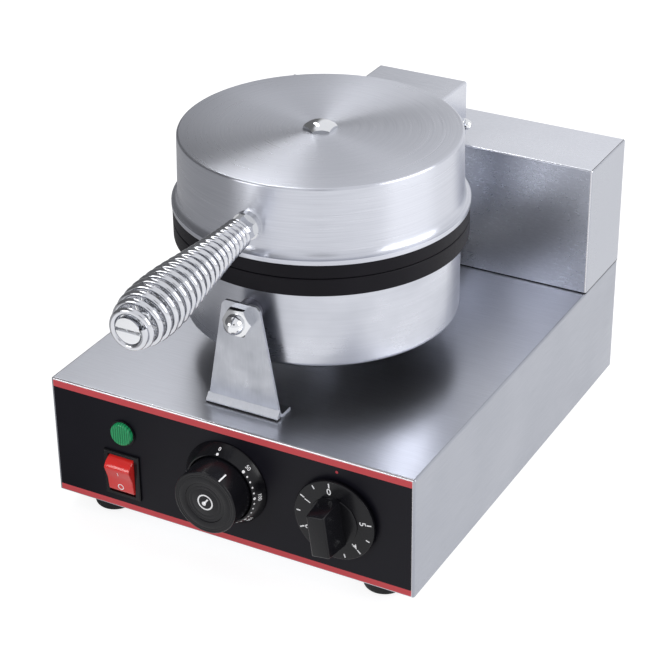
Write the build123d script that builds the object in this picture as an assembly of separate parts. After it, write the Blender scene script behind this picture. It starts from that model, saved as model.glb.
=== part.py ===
from build123d import *
from math import cos, pi, radians, sin, sqrt
import os

os.makedirs("parts", exist_ok=True)

# Electric krumkake iron with one pair of round plates.
# Millimetres. X runs to the right, Y to the back, Z up. The origin is on the floor, in the middle of the
# outer box. Every "set_back" is measured from the base's front face.

# Base box
base_width = 260.0
base_depth = 319.5
base_height = 84.6
sheet = 1.2
bend_radius = 1.4
return_flange = 12.0
bottom_plate_thickness = 1.0
bottom_plate_inset = 3.0
bottom_screw_inset = 9.0
slot_width = 3.0
slot_length = 60.0
slot_pitch = 12.0
slot_count = 9
slot_offset = 52.0

# Feet
foot_height = 11.2
foot_top_radius = 13.0
foot_bottom_radius = 11.0
foot_edge_radius = 3.0
foot_recess_radius = 6.0
foot_recess_depth = 5.0
foot_side_inset = 30.0
foot_end_inset = 20.0

# Rear box
rear_box_set_back = 261.2
rear_box_height = 92.2
rear_flange = 10.0
rear_cover_thickness = 1.0
vent_width = 4.0
vent_length = 26.0
vent_pitch = 13.0
vent_count = 12
vent_row_inset = 30.0
cover_screw_inset = 16.0
duct_radius = 14.0
wire_hole_radius = 10.0
wire_hole_drop = 48.0

# Round pans and plates
pan_set_back = 125.3
pan_gap = 28.7
pan_radius = 89.0
pan_height = 52.6
pan_edge_radius = 3.0
plate_radius = 94.6
lower_plate_thickness = 11.6
upper_plate_thickness = 8.9
plate_gap = 0.4
plate_edge_radius = 0.8
spigot_height = 5.0
spigot_clearance = 0.4
boss_radius = 13.0
boss_height = 9.0
pattern_radius = 85.0
pattern_pitch = 12.0
groove_width = 2.2
groove_depth = 1.2
lid_top_radius = 90.0
lid_skirt_radius = 91.0
lid_rim_radius = 95.0
lid_rim_height = 3.2
lid_flare_height = 5.0
lid_height = 48.3
lid_sheet = 1.5
lid_edge_radius = 1.6

# Heaters and insulation
heater_radius = 58.0
heater_tube_radius = 4.2
heater_arc = 320.0
heater_tail = 18.0
insulation_clearance = 0.3
insulation_radius = 82.0
lid_insulation_radius = 76.5
lid_insulation_thickness = 22.0

# Centre studs
center_stud_radius = 5.0
center_nut_width = 18.0
center_nut_height = 7.0
center_nut_crown = 17.0

# Hinge
pivot_set_back = 260.5
pivot_height = 107.7
pin_radius = 2.5
pin_clearance = 0.05
eye_radius = 8.0
cheek_thickness = 2.5
cheek_half_width = 30.6
washer_thickness = 1.0
side_play = 0.1
bracket_floor_height = 22.7
cheek_shoulder_height = 90.7
cheek_front_height = 77.7
cheek_slope_run = 20.0
cheek_back_offset = 1.0
cover_sheet = 1.2
cover_top_above_pivot = 26.9
cover_bottom_below_pivot = 11.5
cover_back_behind_pivot = 9.5
cover_flange_above_pivot = 8.0
cover_bend_radius = 1.5
hinge_nut_dome = 3.6
rim_clearance = 0.4

# Front bracket
bracket_set_back = 23.0
bracket_sheet = 2.0
bracket_height = 74.7
bracket_bottom_width = 51.6
bracket_top_width = 26.5
bracket_corner = 2.5
bracket_foot_length = 13.0
bracket_bend_radius = 4.0
bracket_bolt_height = 64.1
bracket_bolt_radius = 4.0
cap_nut_width = 14.0
cap_nut_height = 7.5
cap_nut_dome = 6.3
bracket_screw_spacing = 30.0
bracket_screw_set_back = 8.0
bracket_bolt_head_width = 13.0
bracket_bolt_head_height = 5.3

# Handle
handle_height = 122.7
handle_droop = 3.6
handle_rod_radius = 4.0
handle_washer_radius = 9.0
handle_washer_thickness = 2.5
handle_nut_width = 14.0
handle_nut_height = 6.5
coil_wire_radius = 2.0
coil_turns = 21
coil_first_pitch = 0.65  # share of the pitch at the free end
coil_even_turn = 10  # the pitch no longer grows after this turn
coil_start_radius = 9.4
coil_middle_radius = 14.2
coil_widest_radius = 17.9
coil_end_radius = 12.6
coil_middle_share = 0.42
coil_widest_share = 0.78
coil_length = 122.4
handle_head_radius = 8.2
handle_head_length = 5.5
handle_collar_radius = 8.8
handle_collar_thickness = 1.6
screw_slot_width = 2.4
screw_slot_depth = 2.0

# Front panel
overlay_thickness = 0.5
overlay_side_margin = 2.0
overlay_edge_margin = 0.8
switch_inset = 51.8
switch_height = 26.8
bezel_width = 26.5
bezel_height = 33.0
bezel_thickness = 2.0
rocker_radius = 13.7
rocker_width = 19.0
rocker_clearance = 0.4
rocker_pivot_depth = 3.0
rocker_face_half = 10.0
rocker_valley = 1.2
rocker_tilt = 14.0
rocker_shoulder = radians(75)
rocker_heel = 0.25
rocker_pin_radius = 1.5
rocker_pin_length = 1.0
switch_depth = 22.0
switch_wall = 1.6
terminal_width = 6.3
terminal_thickness = 0.8
terminal_length = 9.0
indicator_inset = 54.0
indicator_height = 58.6
lens_radius = 7.9
lens_height = 3.0
indicator_flange_radius = 9.0
indicator_flange_thickness = 1.0
indicator_barrel_radius = 6.3
indicator_barrel_length = 24.0
indicator_nut_width = 16.4
thermostat_offset = 0.0
thermostat_height = 44.6
timer_inset = 52.0
timer_height = 43.0
dial_bezel_radius = 29.0
dial_bezel_height = 9.0
dial_bezel_wall = 1.6
knob_radius = 21.7
knob_base_radius = 22.3
knob_length = 26.5
knob_dish_radius = 14.0
knob_dish_depth = 0.7
knob_gap = 0.5
timer_disc_radius = 27.5
timer_disc_thickness = 2.2
timer_grip_radius = 16.5
timer_grip_length = 25.0
timer_grip_width = 12.0
timer_flank_radius = 15.0
panel_air_gap = 0.6
shaft_radius = 3.0
shaft_inside = 16.0
shaft_engagement = 14.0
bush_radius = 5.0
bush_length = 5.0
thermostat_box = 34.0
thermostat_box_depth = 26.0
timer_box = 46.0
timer_box_depth = 32.0
control_screw_spacing = 28.0
control_screw_radius = 2.0

# Mains inlet
gland_inset = 38.0
gland_height = 35.8
gland_thread_radius = 9.0
gland_hex_width = 24.0
gland_hex_height = 5.0
gland_cap_radius = 11.0
gland_cap_length = 12.0
gland_bore_radius = 4.0
gland_nut_height = 4.0
terminal_block_length = 58.0
terminal_block_width = 22.0
terminal_block_height = 20.0
terminal_block_set_in = 60.0
terminal_count = 4
terminal_screw_radius = 2.5
terminal_screw_inset = 6.0

# Small screws
screw_radius = 2.0
screw_head_radius = 3.8
screw_head_height = 1.8
small_clearance = 0.1
bolt_radius = 2.5
bolt_head_width = 8.0
bolt_head_height = 3.5
nut_width = 8.0
nut_height = 4.0

# Levels and places worked out from the above
switch_x = -base_width / 2 + switch_inset
indicator_x = -base_width / 2 + indicator_inset
thermostat_x = thermostat_offset
timer_x = base_width / 2 - timer_inset
gland_x = base_width / 2 - gland_inset
shell_bottom = foot_height + bottom_plate_thickness
deck = shell_bottom + base_height
handle_drop = radians(handle_droop)
handle_start = handle_washer_thickness + handle_nut_height
handle_reach = handle_start + coil_length
handle_root_radius = lid_skirt_radius
coil_end_ring = coil_end_radius - coil_wire_radius
tip_center_reach = handle_reach - coil_wire_radius
tip_reach = tip_center_reach * cos(handle_drop) + coil_end_ring * sin(handle_drop) + coil_wire_radius
overall_front = tip_reach + handle_root_radius - pan_set_back
overall_back = base_depth + gland_hex_height + gland_cap_length
front = -(overall_back - overall_front) / 2
back = front + base_depth
pan_y = front + pan_set_back
pan_bottom = deck + pan_gap
lower_plate_bottom = pan_bottom + pan_height
seam = lower_plate_bottom + lower_plate_thickness
upper_plate_bottom = seam + plate_gap
rim_bottom = upper_plate_bottom + upper_plate_thickness
lid_top = rim_bottom + lid_height
rear_front = front + rear_box_set_back
rear_top = deck + rear_box_height
pivot_y = front + pivot_set_back
pivot_z = deck + pivot_height
cover_half_width = cheek_half_width + 2 * side_play + washer_thickness + cover_sheet
cover_top = pivot_z + cover_top_above_pivot
cover_bottom = pivot_z - cover_bottom_below_pivot
cover_back = pivot_y + cover_back_behind_pivot
spigot_radius = pan_radius - sheet - spigot_clearance
lid_spigot_radius = lid_skirt_radius - lid_sheet - spigot_clearance
toward_front = (0, -1, 0)
toward_back = (0, 1, 0)
upward = (0, 0, 1)
downward = (0, 0, -1)


def block(x0, x1, y0, y1, z0, z1):
    """Box between two corners."""
    size = (x1 - x0, y1 - y0, z1 - z0)
    middle = ((x0 + x1) / 2, (y0 + y1) / 2, (z0 + z1) / 2)
    return Pos(*middle) * Box(*size)


def rod(radius, length, place, along):
    """Cylinder that starts at a place and runs along a direction."""
    axis = Plane(origin=place, z_dir=along)
    return axis * Cylinder(radius, length, align=(Align.CENTER, Align.CENTER, Align.MIN))


def hexagon(width, height, place, along):
    """Hexagonal prism given by its width across flats."""
    outline = RegularPolygon(radius=width / 2, side_count=6, major_radius=False)
    return Plane(origin=place, z_dir=along) * extrude(outline, height)


def turned(outline, place=(0, 0, 0), along=upward):
    """Solid of revolution from a closed outline of (radius, height) points."""
    face = make_face(Plane.XZ * Polyline(*outline, close=True))
    return Plane(origin=place, z_dir=along) * revolve(face, Axis.Z)


def group(solids):
    """Several separate solids kept in one node."""
    return Compound(children=list(solids))


def screw(place, along, length, radius=screw_radius):
    """Pan-head screw: the place is under its head and its shank runs along."""
    head_side = tuple(-value for value in along)
    head = rod(screw_head_radius, screw_head_height, place, head_side)
    head = fillet(head.edges().filter_by(GeomType.CIRCLE).sort_by(Axis(place, head_side))[-1], 0.9)
    return head + rod(radius, length, place, along)


def hex_bolt(place, along, length, radius, width, height):
    """Hexagon bolt: the place is under its head and its shank runs along."""
    head_side = tuple(-value for value in along)
    return hexagon(width, height, place, head_side) + rod(radius, length, place, along)


def hex_nut(place, along, radius, width, height):
    return hexagon(width, height, place, along) - rod(radius + pin_clearance, height, place, along)


def cap_nut(place, along, radius, width, height, dome, depth):
    """Domed nut that stands on a place and points along."""
    direction = Vector(*along).normalized()
    dome_place = Vector(*place) + direction * height
    body = hexagon(width, height, place, along) + rod(dome, dome * 0.35, dome_place, along)
    crown = Pos(*(dome_place + direction * dome * 0.35)) * Sphere(dome)
    return body + crown - rod(radius + pin_clearance, depth, place, along)


def corners(side_inset, end_inset):
    """Four places near the corners of the base, as (x, y)."""
    places = []
    for y in (front + end_inset, back - end_inset):
        for x in (-base_width / 2 + side_inset, base_width / 2 - side_inset):
            places.append((x, y))
    return places


def heater(place, along):
    """Open ring of heating tube with two straight tails."""
    section = Plane.XZ * Pos(heater_radius, heater_tube_radius) * Circle(heater_tube_radius)
    ring = revolve(section, Axis.Z, revolution_arc=heater_arc)
    end = Plane(origin=(0, 0, heater_tube_radius))
    for angle in (0, heater_arc):
        tail = Pos(heater_radius, 0, 0) * Cylinder(
            heater_tube_radius, heater_tail, align=(Align.CENTER, Align.CENTER, Align.MIN))
        ring = ring + end * (Rot(0, 0, angle) * tail)
        ring = ring + end * (Rot(0, 0, angle) * (Pos(heater_radius, 0, 0) * Sphere(heater_tube_radius)))
    turn_back = Rot(0, 0, -heater_arc / 2)
    return Plane(origin=place, x_dir=toward_front, z_dir=along) * (turn_back * ring)


def tail_holes(thickness):
    """Holes in the insulation for the heater's tails, in the heater's own frame."""
    holes = []
    for angle in (-heater_arc / 2, heater_arc / 2):
        hole = Pos(heater_radius, 0, 0) * Cylinder(
            heater_tube_radius + 1, thickness, align=(Align.CENTER, Align.CENTER, Align.MIN))
        holes.append(Rot(0, 0, angle) * hole)
    return holes


def insulation(place, along, radius, thickness):
    pad = Cylinder(radius, thickness, align=(Align.CENTER, Align.CENTER, Align.MIN))
    pad = pad - Cylinder(boss_radius + 1, thickness, align=(Align.CENTER, Align.CENTER, Align.MIN))
    for hole in tail_holes(thickness):
        pad = pad - hole
    return Plane(origin=place, x_dir=toward_front, z_dir=along) * pad


def grooves(level, turn):
    """One set of parallel grooves across the round field of a plate's face at a level."""
    bars = []
    half_count = int((pattern_radius - groove_width) / pattern_pitch)
    for index in range(-half_count, half_count + 1):
        offset = abs(index) * pattern_pitch + groove_width / 2
        length = 2 * sqrt(pattern_radius ** 2 - offset ** 2)
        bar = Pos(0, index * pattern_pitch, 0) * Box(length, groove_width, 2 * groove_depth)
        bars.append(Pos(0, pan_y, level) * (Rot(0, 0, turn) * bar))
    return bars


# ---------------------------------------------------------------- base box

def make_box_sheets():
    """All the folded and welded sheets of the base box as one solid."""
    half = base_width / 2
    outer = block(-half, half, front, back, shell_bottom, deck)
    outer = fillet(outer.edges().filter_by(Axis.Z), bend_radius)
    outer = fillet(outer.faces().sort_by(Axis.Z)[-1].edges(), bend_radius)
    inner = block(-half + sheet, half - sheet, front + sheet, back - sheet,
                  shell_bottom + sheet, deck - sheet)
    mouth = block(-half + return_flange, half - return_flange, front + return_flange,
                  back - return_flange, shell_bottom - 1, shell_bottom + sheet)
    shell = outer - inner - mouth
    shell -= rod(indicator_barrel_radius + small_clearance, 2 * sheet, indicator_place(sheet), toward_front)
    shell -= switch_cutout(2 * sheet)
    for x, height in ((thermostat_x, thermostat_height), (timer_x, timer_height)):
        center = (x, front - 1, shell_bottom + height)
        shell -= rod(bush_radius + small_clearance, 3 * sheet, center, toward_back)
        for side in (-1, 1):
            place = (x + side * control_screw_spacing / 2, front - 1, shell_bottom + height)
            shell -= rod(control_screw_radius + small_clearance, 3 * sheet, place, toward_back)
    for place in bracket_screw_places():
        hole_place = (place[0], place[1], deck - 2 * sheet)
        shell -= rod(screw_radius + small_clearance, 3 * sheet, hole_place, upward)
    gland_place = (gland_x, back + 1, gland_level())
    shell -= rod(gland_thread_radius + small_clearance, 3 * sheet, gland_place, toward_front)
    shell -= rod(duct_radius, 3 * sheet, (0, (rear_front + back) / 2, deck - 2 * sheet), upward)
    for x, y in bottom_screw_places():
        shell -= rod(screw_radius + small_clearance, 3 * sheet, (x, y, shell_bottom - 1), upward)
    return shell


def side_zone(side):
    """Space that holds one side sheet and its return flange."""
    half = base_width / 2
    zones = []
    for inner, y0, y1, top in ((half - bend_radius, front - 1, back + 1, deck + 1),
                               (half - return_flange, front + return_flange, back - return_flange,
                                shell_bottom + sheet)):
        x0, x1 = sorted((side * inner, side * (half + 1)))
        zones.append(block(x0, x1, y0, y1, shell_bottom - 1, top))
    return zones[0] + zones[1]


def end_zone(side):
    """Space that holds the front or back sheet and its return flange, between the side sheets."""
    half = base_width / 2
    face = front if side < 0 else back
    zones = []
    for depth, top in ((bend_radius, deck + 1), (return_flange, shell_bottom + sheet)):
        y0, y1 = sorted((face + side, face - side * depth))
        zones.append(block(-half - 1, half + 1, y0, y1, shell_bottom - 1, top))
    return zones[0] + zones[1] - side_zone(-1) - side_zone(1)


def make_side_sheet(side):
    return make_box_sheets() & side_zone(side)


def make_end_sheet(side):
    return make_box_sheets() & end_zone(side)


def make_deck_sheet():
    sheets = make_box_sheets()
    for side in (-1, 1):
        sheets = sheets - side_zone(side) - end_zone(side)
    return sheets


def bottom_screw_places():
    places = corners(bottom_screw_inset, bottom_screw_inset)
    half = base_width / 2 - bottom_screw_inset
    middle = (front + back) / 2
    return places + [(-half, middle), (half, middle)]


def make_bottom_plate():
    half = base_width / 2 - bottom_plate_inset
    plate = block(-half, half, front + bottom_plate_inset, back - bottom_plate_inset,
                  foot_height, shell_bottom)
    for index in range(slot_count):
        y = (front + back) / 2 + (index - (slot_count - 1) / 2) * slot_pitch
        for side in (-1, 1):
            x = side * slot_offset
            plate -= block(x - slot_length / 2, x + slot_length / 2, y - slot_width / 2, y + slot_width / 2,
                           foot_height - 1, shell_bottom + 1)
    for x, y in corners(foot_side_inset, foot_end_inset):
        plate -= rod(screw_radius + small_clearance, 4, (x, y, foot_height - 1), upward)
    for x, y in bottom_screw_places():
        plate -= rod(screw_radius + small_clearance, 4, (x, y, foot_height - 1), upward)
    return plate


def make_foot(x, y):
    profile = [(0, 0), (foot_bottom_radius, 0), (foot_top_radius, foot_height), (0, foot_height)]
    foot = turned(profile, (x, y, 0))
    foot = fillet(foot.edges().filter_by(GeomType.CIRCLE).sort_by(Axis.Z)[0], foot_edge_radius)
    foot -= rod(foot_recess_radius, foot_recess_depth, (x, y, 0), upward)
    return foot - rod(screw_radius + small_clearance, foot_height, (x, y, 0), upward)


def make_foot_screws():
    length = foot_height - foot_recess_depth + bottom_plate_thickness + nut_height + 1
    return group(screw((x, y, foot_recess_depth), upward, length)
                 for x, y in corners(foot_side_inset, foot_end_inset))


def make_foot_nuts():
    return group(hex_nut((x, y, shell_bottom), upward, screw_radius, nut_width, nut_height)
                 for x, y in corners(foot_side_inset, foot_end_inset))


# ---------------------------------------------------------------- rear box

def rear_cover_screw_places():
    half = base_width / 2 - sheet - rear_flange / 2
    places = []
    for x in (-half, half):
        for z in (deck + cover_screw_inset, rear_top - cover_screw_inset):
            places.append((x, back, z))
    return places


def make_rear_box():
    half = base_width / 2
    box_back = back - rear_cover_thickness
    outer = block(-half, half, rear_front, box_back, deck, rear_top)
    outer = fillet(outer.edges().filter_by(Axis.Z).sort_by(Axis.Y)[:2], bend_radius)
    top_edges = outer.faces().sort_by(Axis.Z)[-1].edges().sort_by(Axis.Y)[:-1]
    outer = fillet(top_edges, bend_radius)
    inner = block(-half + sheet, half - sheet, rear_front + sheet, box_back - sheet,
                  deck + sheet, rear_top - sheet)
    floor_mouth = block(-half + rear_flange, half - rear_flange, rear_front + rear_flange,
                        box_back - rear_flange, deck - 1, deck + 2 * sheet)
    back_mouth = block(-half + rear_flange, half - rear_flange, box_back - 2 * sheet, box_back + 1,
                       deck + rear_flange, rear_top - rear_flange)
    box = outer - inner - floor_mouth - back_mouth
    for x, z in hinge_bolt_places():
        box -= rod(bolt_radius + small_clearance, 4, (x, rear_front - 1, z), toward_back)
    box -= rod(wire_hole_radius, 4, (0, rear_front - 1, pivot_z - wire_hole_drop), toward_back)
    for x, y, z in rear_cover_screw_places():
        box -= rod(screw_radius + small_clearance, 8, (x, back, z), toward_front)
    return box


def make_rear_cover():
    half = base_width / 2
    cover = block(-half, half, back - rear_cover_thickness, back, deck, rear_top)
    cover = fillet(cover.edges().filter_by(Axis.Y).group_by(Axis.Z)[-1], bend_radius)
    for index in range(vent_count):
        x = (index - (vent_count - 1) / 2) * vent_pitch
        for z in (deck + vent_row_inset, rear_top - vent_row_inset):
            cover -= block(x - vent_width / 2, x + vent_width / 2, back - 3, back + 1,
                           z - vent_length / 2, z + vent_length / 2)
    for place in rear_cover_screw_places():
        cover -= rod(screw_radius + small_clearance, 4, (place[0], back + 1, place[2]), toward_front)
    return cover


def make_cover_screws():
    """Equal screws that hold the bottom plate and the rear cover."""
    screws = [screw((x, y, foot_height), upward, bottom_plate_thickness + sheet + 4)
              for x, y in bottom_screw_places()]
    screws += [screw(place, toward_front, rear_cover_thickness + sheet + 4)
               for place in rear_cover_screw_places()]
    return group(screws)


# ---------------------------------------------------------------- mains inlet

def gland_level():
    return shell_bottom + gland_height


def make_cable_gland():
    place = (gland_x, back, gland_level())
    gland = hexagon(gland_hex_width, gland_hex_height, place, toward_back)
    cap_place = (gland_x, back + gland_hex_height, gland_level())
    cap = rod(gland_cap_radius, gland_cap_length, cap_place, toward_back)
    cap = fillet(cap.edges().filter_by(GeomType.CIRCLE).sort_by(Axis.Y)[-1], 4)
    gland += cap
    gland += rod(gland_thread_radius, sheet + gland_nut_height + 3, place, toward_front)
    through = gland_hex_height + gland_cap_length + sheet + gland_nut_height + 5
    inside = (gland_x, back - sheet - gland_nut_height - 4, gland_level())
    return gland - rod(gland_bore_radius, through, inside, toward_back)


def make_gland_nut():
    return hex_nut((gland_x, back - sheet, gland_level()), toward_front, gland_thread_radius,
                   gland_hex_width, gland_nut_height)


def make_terminal_block():
    x0 = gland_x - terminal_block_length
    y1 = back - terminal_block_set_in
    body = block(x0, gland_x, y1 - terminal_block_width, y1,
                 shell_bottom, shell_bottom + terminal_block_height)
    for index in range(terminal_count):
        x = x0 + terminal_block_length * (index + 0.5) / terminal_count
        for y in (y1 - terminal_screw_inset, y1 - terminal_block_width + terminal_screw_inset):
            body -= rod(terminal_screw_radius, 6, (x, y, shell_bottom + terminal_block_height), downward)
    return body


# ---------------------------------------------------------------- lower pan

def bolt_level():
    return deck + bracket_bolt_height


def make_lower_pan():
    outline = [(0, pan_bottom), (pan_radius, pan_bottom), (pan_radius, lower_plate_bottom),
               (pan_radius - sheet, lower_plate_bottom), (pan_radius - sheet, pan_bottom + sheet),
               (0, pan_bottom + sheet)]
    pan = turned(outline)
    bottom_edges = pan.edges().filter_by(GeomType.CIRCLE).group_by(Axis.Z)[0]
    pan = fillet(bottom_edges, pan_edge_radius)
    pan = Pos(0, pan_y, 0) * pan
    bolt_hole_place = (0, pan_y - pan_radius - 2, bolt_level())
    pan -= rod(bracket_bolt_radius + small_clearance, 10, bolt_hole_place, toward_back)
    pan -= rod(center_stud_radius + small_clearance, 6, (0, pan_y, pan_bottom - 2), upward)
    pan -= rod(wire_hole_radius, 12, (0, pan_y + pan_radius + 3, pivot_z - wire_hole_drop), toward_front)
    return pan


def make_lower_plate():
    plate = Pos(0, pan_y, lower_plate_bottom) * Cylinder(
        plate_radius, lower_plate_thickness, align=(Align.CENTER, Align.CENTER, Align.MIN))
    plate = fillet(plate.edges().filter_by(GeomType.CIRCLE), plate_edge_radius)
    plate += rod(spigot_radius, spigot_height, (0, pan_y, lower_plate_bottom), downward)
    plate += rod(boss_radius, boss_height, (0, pan_y, lower_plate_bottom - spigot_height), downward)
    plate -= rod(center_stud_radius + pin_clearance, boss_height + spigot_height + 2,
                 (0, pan_y, lower_plate_bottom - spigot_height - boss_height), upward)
    return plate - grooves(seam, 45) - grooves(seam, -45)


def make_lower_heater():
    return heater((0, pan_y, lower_plate_bottom - spigot_height), downward)


def make_lower_insulation():
    top = lower_plate_bottom - spigot_height - 2 * heater_tube_radius - insulation_clearance
    floor = pan_bottom + sheet
    return insulation((0, pan_y, top), downward, insulation_radius, top - floor)


def make_lower_center_bolt():
    """Hexagon bolt from below the pan into the plate's boss."""
    tip = lower_plate_bottom + 1
    return hex_bolt((0, pan_y, pan_bottom), upward, tip - pan_bottom, center_stud_radius,
                    center_nut_width, center_nut_height)


# ---------------------------------------------------------------- front bracket

def bracket_screw_places():
    y = front + bracket_set_back + bracket_screw_set_back
    return [(-bracket_screw_spacing / 2, y), (bracket_screw_spacing / 2, y)]


def make_front_bracket():
    face = front + bracket_set_back
    half = bracket_bottom_width / 2
    upright = block(-half, half, face, face + bracket_sheet, deck, deck + bracket_height)
    foot = block(-half, half, face, face + bracket_foot_length, deck, deck + bracket_sheet)
    bracket = upright + foot
    outside = bracket.edges().filter_by(Axis.X).filter_by(
        lambda edge: abs(edge.center().Y - face) < 0.01 and abs(edge.center().Z - deck) < 0.01)
    bracket = fillet(outside, bracket_bend_radius)
    inside = bracket.edges().filter_by(Axis.X).filter_by(
        lambda edge: abs(edge.center().Y - face - bracket_sheet) < 0.01
        and abs(edge.center().Z - deck - bracket_sheet) < 0.01)
    bracket = fillet(inside, bracket_bend_radius - bracket_sheet)
    top = bracket_top_width / 2
    cut = bracket_corner
    outline = Polyline((-half, deck), (half, deck), (top, deck + bracket_height - cut),
                       (top - cut, deck + bracket_height), (-top + cut, deck + bracket_height),
                       (-top, deck + bracket_height - cut), close=True)
    trapezoid = make_face(Plane.XZ * outline)
    prism = Pos(0, face + 50, 0) * extrude(trapezoid, 100, both=False)
    bracket = bracket & prism
    bracket -= rod(bracket_bolt_radius + small_clearance, 6, (0, face - 1, bolt_level()), toward_back)
    for x, y in bracket_screw_places():
        bracket -= rod(screw_radius + small_clearance, 6, (x, y, deck - 1), upward)
    return bracket


def make_bracket_screws():
    return group(screw((x, y, deck + bracket_sheet), downward, bracket_sheet + sheet + 5)
                 for x, y in bracket_screw_places())


def make_bracket_spacer():
    start = front + bracket_set_back + bracket_sheet
    length = pan_y - pan_radius - start
    spacer = rod(2 * bracket_bolt_radius, length, (0, start, bolt_level()), toward_back)
    return spacer - rod(bracket_bolt_radius + pin_clearance, length, (0, start, bolt_level()), toward_back)


def make_bracket_bolt():
    """Hexagon bolt with its head inside the pan."""
    seat = pan_y - sqrt((pan_radius - sheet) ** 2 - (bracket_bolt_head_width * 0.58) ** 2)
    tip = front + bracket_set_back - cap_nut_height - 2
    return hex_bolt((0, seat, bolt_level()), toward_front, seat - tip, bracket_bolt_radius,
                    bracket_bolt_head_width, bracket_bolt_head_height)


def make_bracket_cap_nut():
    return cap_nut((0, front + bracket_set_back, bolt_level()), toward_front, bracket_bolt_radius,
                   cap_nut_width, cap_nut_height, cap_nut_dome, cap_nut_height + 2.5)


# ---------------------------------------------------------------- hinge

def hinge_bolt_places():
    places = []
    for x in (-18, 18):
        for z in (deck + bracket_floor_height + 14, deck + cheek_shoulder_height - 12):
            places.append((x, z))
    return places


def make_hinge_bracket():
    """Welded channel from the rear box to the lower pan, with two cheeks that carry the pin."""
    low = deck + bracket_floor_height
    shoulder = deck + cheek_shoulder_height
    front_top = deck + cheek_front_height
    reach = pan_y + pan_radius - 20
    outline = Plane.YZ * Polyline(
        (rear_front, low), (rear_front, shoulder), (pivot_y - cheek_back_offset, shoulder),
        (pivot_y - cheek_back_offset, pivot_z), (pivot_y - eye_radius, pivot_z),
        (pivot_y - cheek_slope_run, shoulder), (pivot_y - 1.7 * cheek_slope_run, front_top),
        (reach, front_top), (reach, low), close=True)
    cheek = extrude(make_face(outline), cheek_thickness)
    eye = rod(eye_radius, cheek_thickness, (0, pivot_y, pivot_z), (1, 0, 0))
    cheek = cheek + eye
    bracket = Pos(cheek_half_width - cheek_thickness, 0, 0) * cheek
    bracket += Pos(-cheek_half_width, 0, 0) * cheek
    inner = cheek_half_width - cheek_thickness
    bracket += block(-inner, inner, rear_front - cheek_thickness, rear_front, low, shoulder)
    bracket += block(-inner, inner, reach, rear_front, low, low + cheek_thickness)
    bracket -= Pos(0, pan_y, pan_bottom - 1) * Cylinder(
        pan_radius, pan_height + 60, align=(Align.CENTER, Align.CENTER, Align.MIN))
    pin_place = (-cover_half_width, pivot_y, pivot_z)
    bracket -= rod(pin_radius + pin_clearance, 2 * cover_half_width, pin_place, (1, 0, 0))
    for x, z in hinge_bolt_places():
        bolt_place = (x, rear_front - cheek_thickness - 1, z)
        bracket -= rod(bolt_radius + small_clearance, 6, bolt_place, toward_back)
    place = (0, rear_front - cheek_thickness - 1, pivot_z - wire_hole_drop)
    bracket -= rod(wire_hole_radius, 6, place, toward_back)
    return bracket


def make_hinge_bracket_bolts():
    length = cheek_thickness + sheet + nut_height + 2
    return group(hex_bolt((x, rear_front - cheek_thickness, z), toward_back, length, bolt_radius,
                          bolt_head_width, bolt_head_height) for x, z in hinge_bolt_places())


def make_hinge_bracket_nuts():
    return group(hex_nut((x, rear_front + sheet, z), toward_back, bolt_radius, nut_width, nut_height)
                 for x, z in hinge_bolt_places())


def make_hinge_pin():
    half = cover_half_width + nut_height + 1.5
    return rod(pin_radius, 2 * half, (-half, pivot_y, pivot_z), (1, 0, 0))


def make_hinge_washers():
    washers = []
    for side in (-1, 1):
        start = (side * (cheek_half_width + side_play), pivot_y, pivot_z)
        along = (side, 0, 0)
        washer = rod(eye_radius - 2, washer_thickness, start, along)
        washers.append(washer - rod(pin_radius + pin_clearance, washer_thickness, start, along))
    return group(washers)


def make_hinge_cap_nuts():
    nuts = []
    for side in (-1, 1):
        place = (side * cover_half_width, pivot_y, pivot_z)
        nuts.append(cap_nut(place, (side, 0, 0), pin_radius, nut_width, nut_height,
                            hinge_nut_dome, nut_height + 2))
    return group(nuts)


def make_hinge_cover():
    half = cover_half_width
    start = pan_y + lid_top_radius - 30
    outer = block(-half, half, start, cover_back, cover_bottom, cover_top)
    outer = fillet(outer.edges().filter_by(Axis.Y).group_by(Axis.Z)[-1], cover_bend_radius)
    inner = block(-half + cover_sheet, half - cover_sheet, start - 1, cover_back - cover_sheet,
                  cover_bottom - 1, cover_top - cover_sheet)
    under_flange = block(-half + cover_sheet, half - cover_sheet, start - 1, cover_back + 1,
                         cover_bottom - 1, pivot_z + cover_flange_above_pivot)
    cover = outer - inner - under_flange
    cover -= lid_outside()
    cover -= Pos(0, pan_y, cover_bottom - 1) * Cylinder(
        lid_rim_radius + rim_clearance, rim_bottom - cover_bottom + lid_rim_height + 1,
        align=(Align.CENTER, Align.CENTER, Align.MIN))
    return cover - rod(pin_radius + pin_clearance, 2 * half + 4, (-half - 2, pivot_y, pivot_z), (1, 0, 0))


# ---------------------------------------------------------------- lid

def lid_outline(inset):
    """Half section of the lid, from its axis over the top and down the skirt to the flared rim."""
    flare_top = rim_bottom + lid_rim_height + lid_flare_height
    top = lid_top - inset
    start = Line((0, top), (lid_top_radius - inset, top))
    skirt = Line(start @ 1, (lid_skirt_radius - inset, flare_top))
    rim_start = (lid_rim_radius - inset, rim_bottom + lid_rim_height)
    flare = RadiusArc(skirt @ 1, rim_start, 1.6 * lid_flare_height)
    rim = Line(flare @ 1, (lid_rim_radius - inset, rim_bottom))
    foot = Line(rim @ 1, (0, rim_bottom))
    axis = Line(foot @ 1, (0, top))
    return make_face(Plane.XZ * (Curve() + [start, skirt, flare, rim, foot, axis]))


def lid_outside():
    body = revolve(lid_outline(0), Axis.Z)
    body = fillet(body.edges().filter_by(GeomType.CIRCLE).sort_by(Axis.Z)[-1], lid_edge_radius)
    return Pos(0, pan_y, 0) * body


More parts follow.
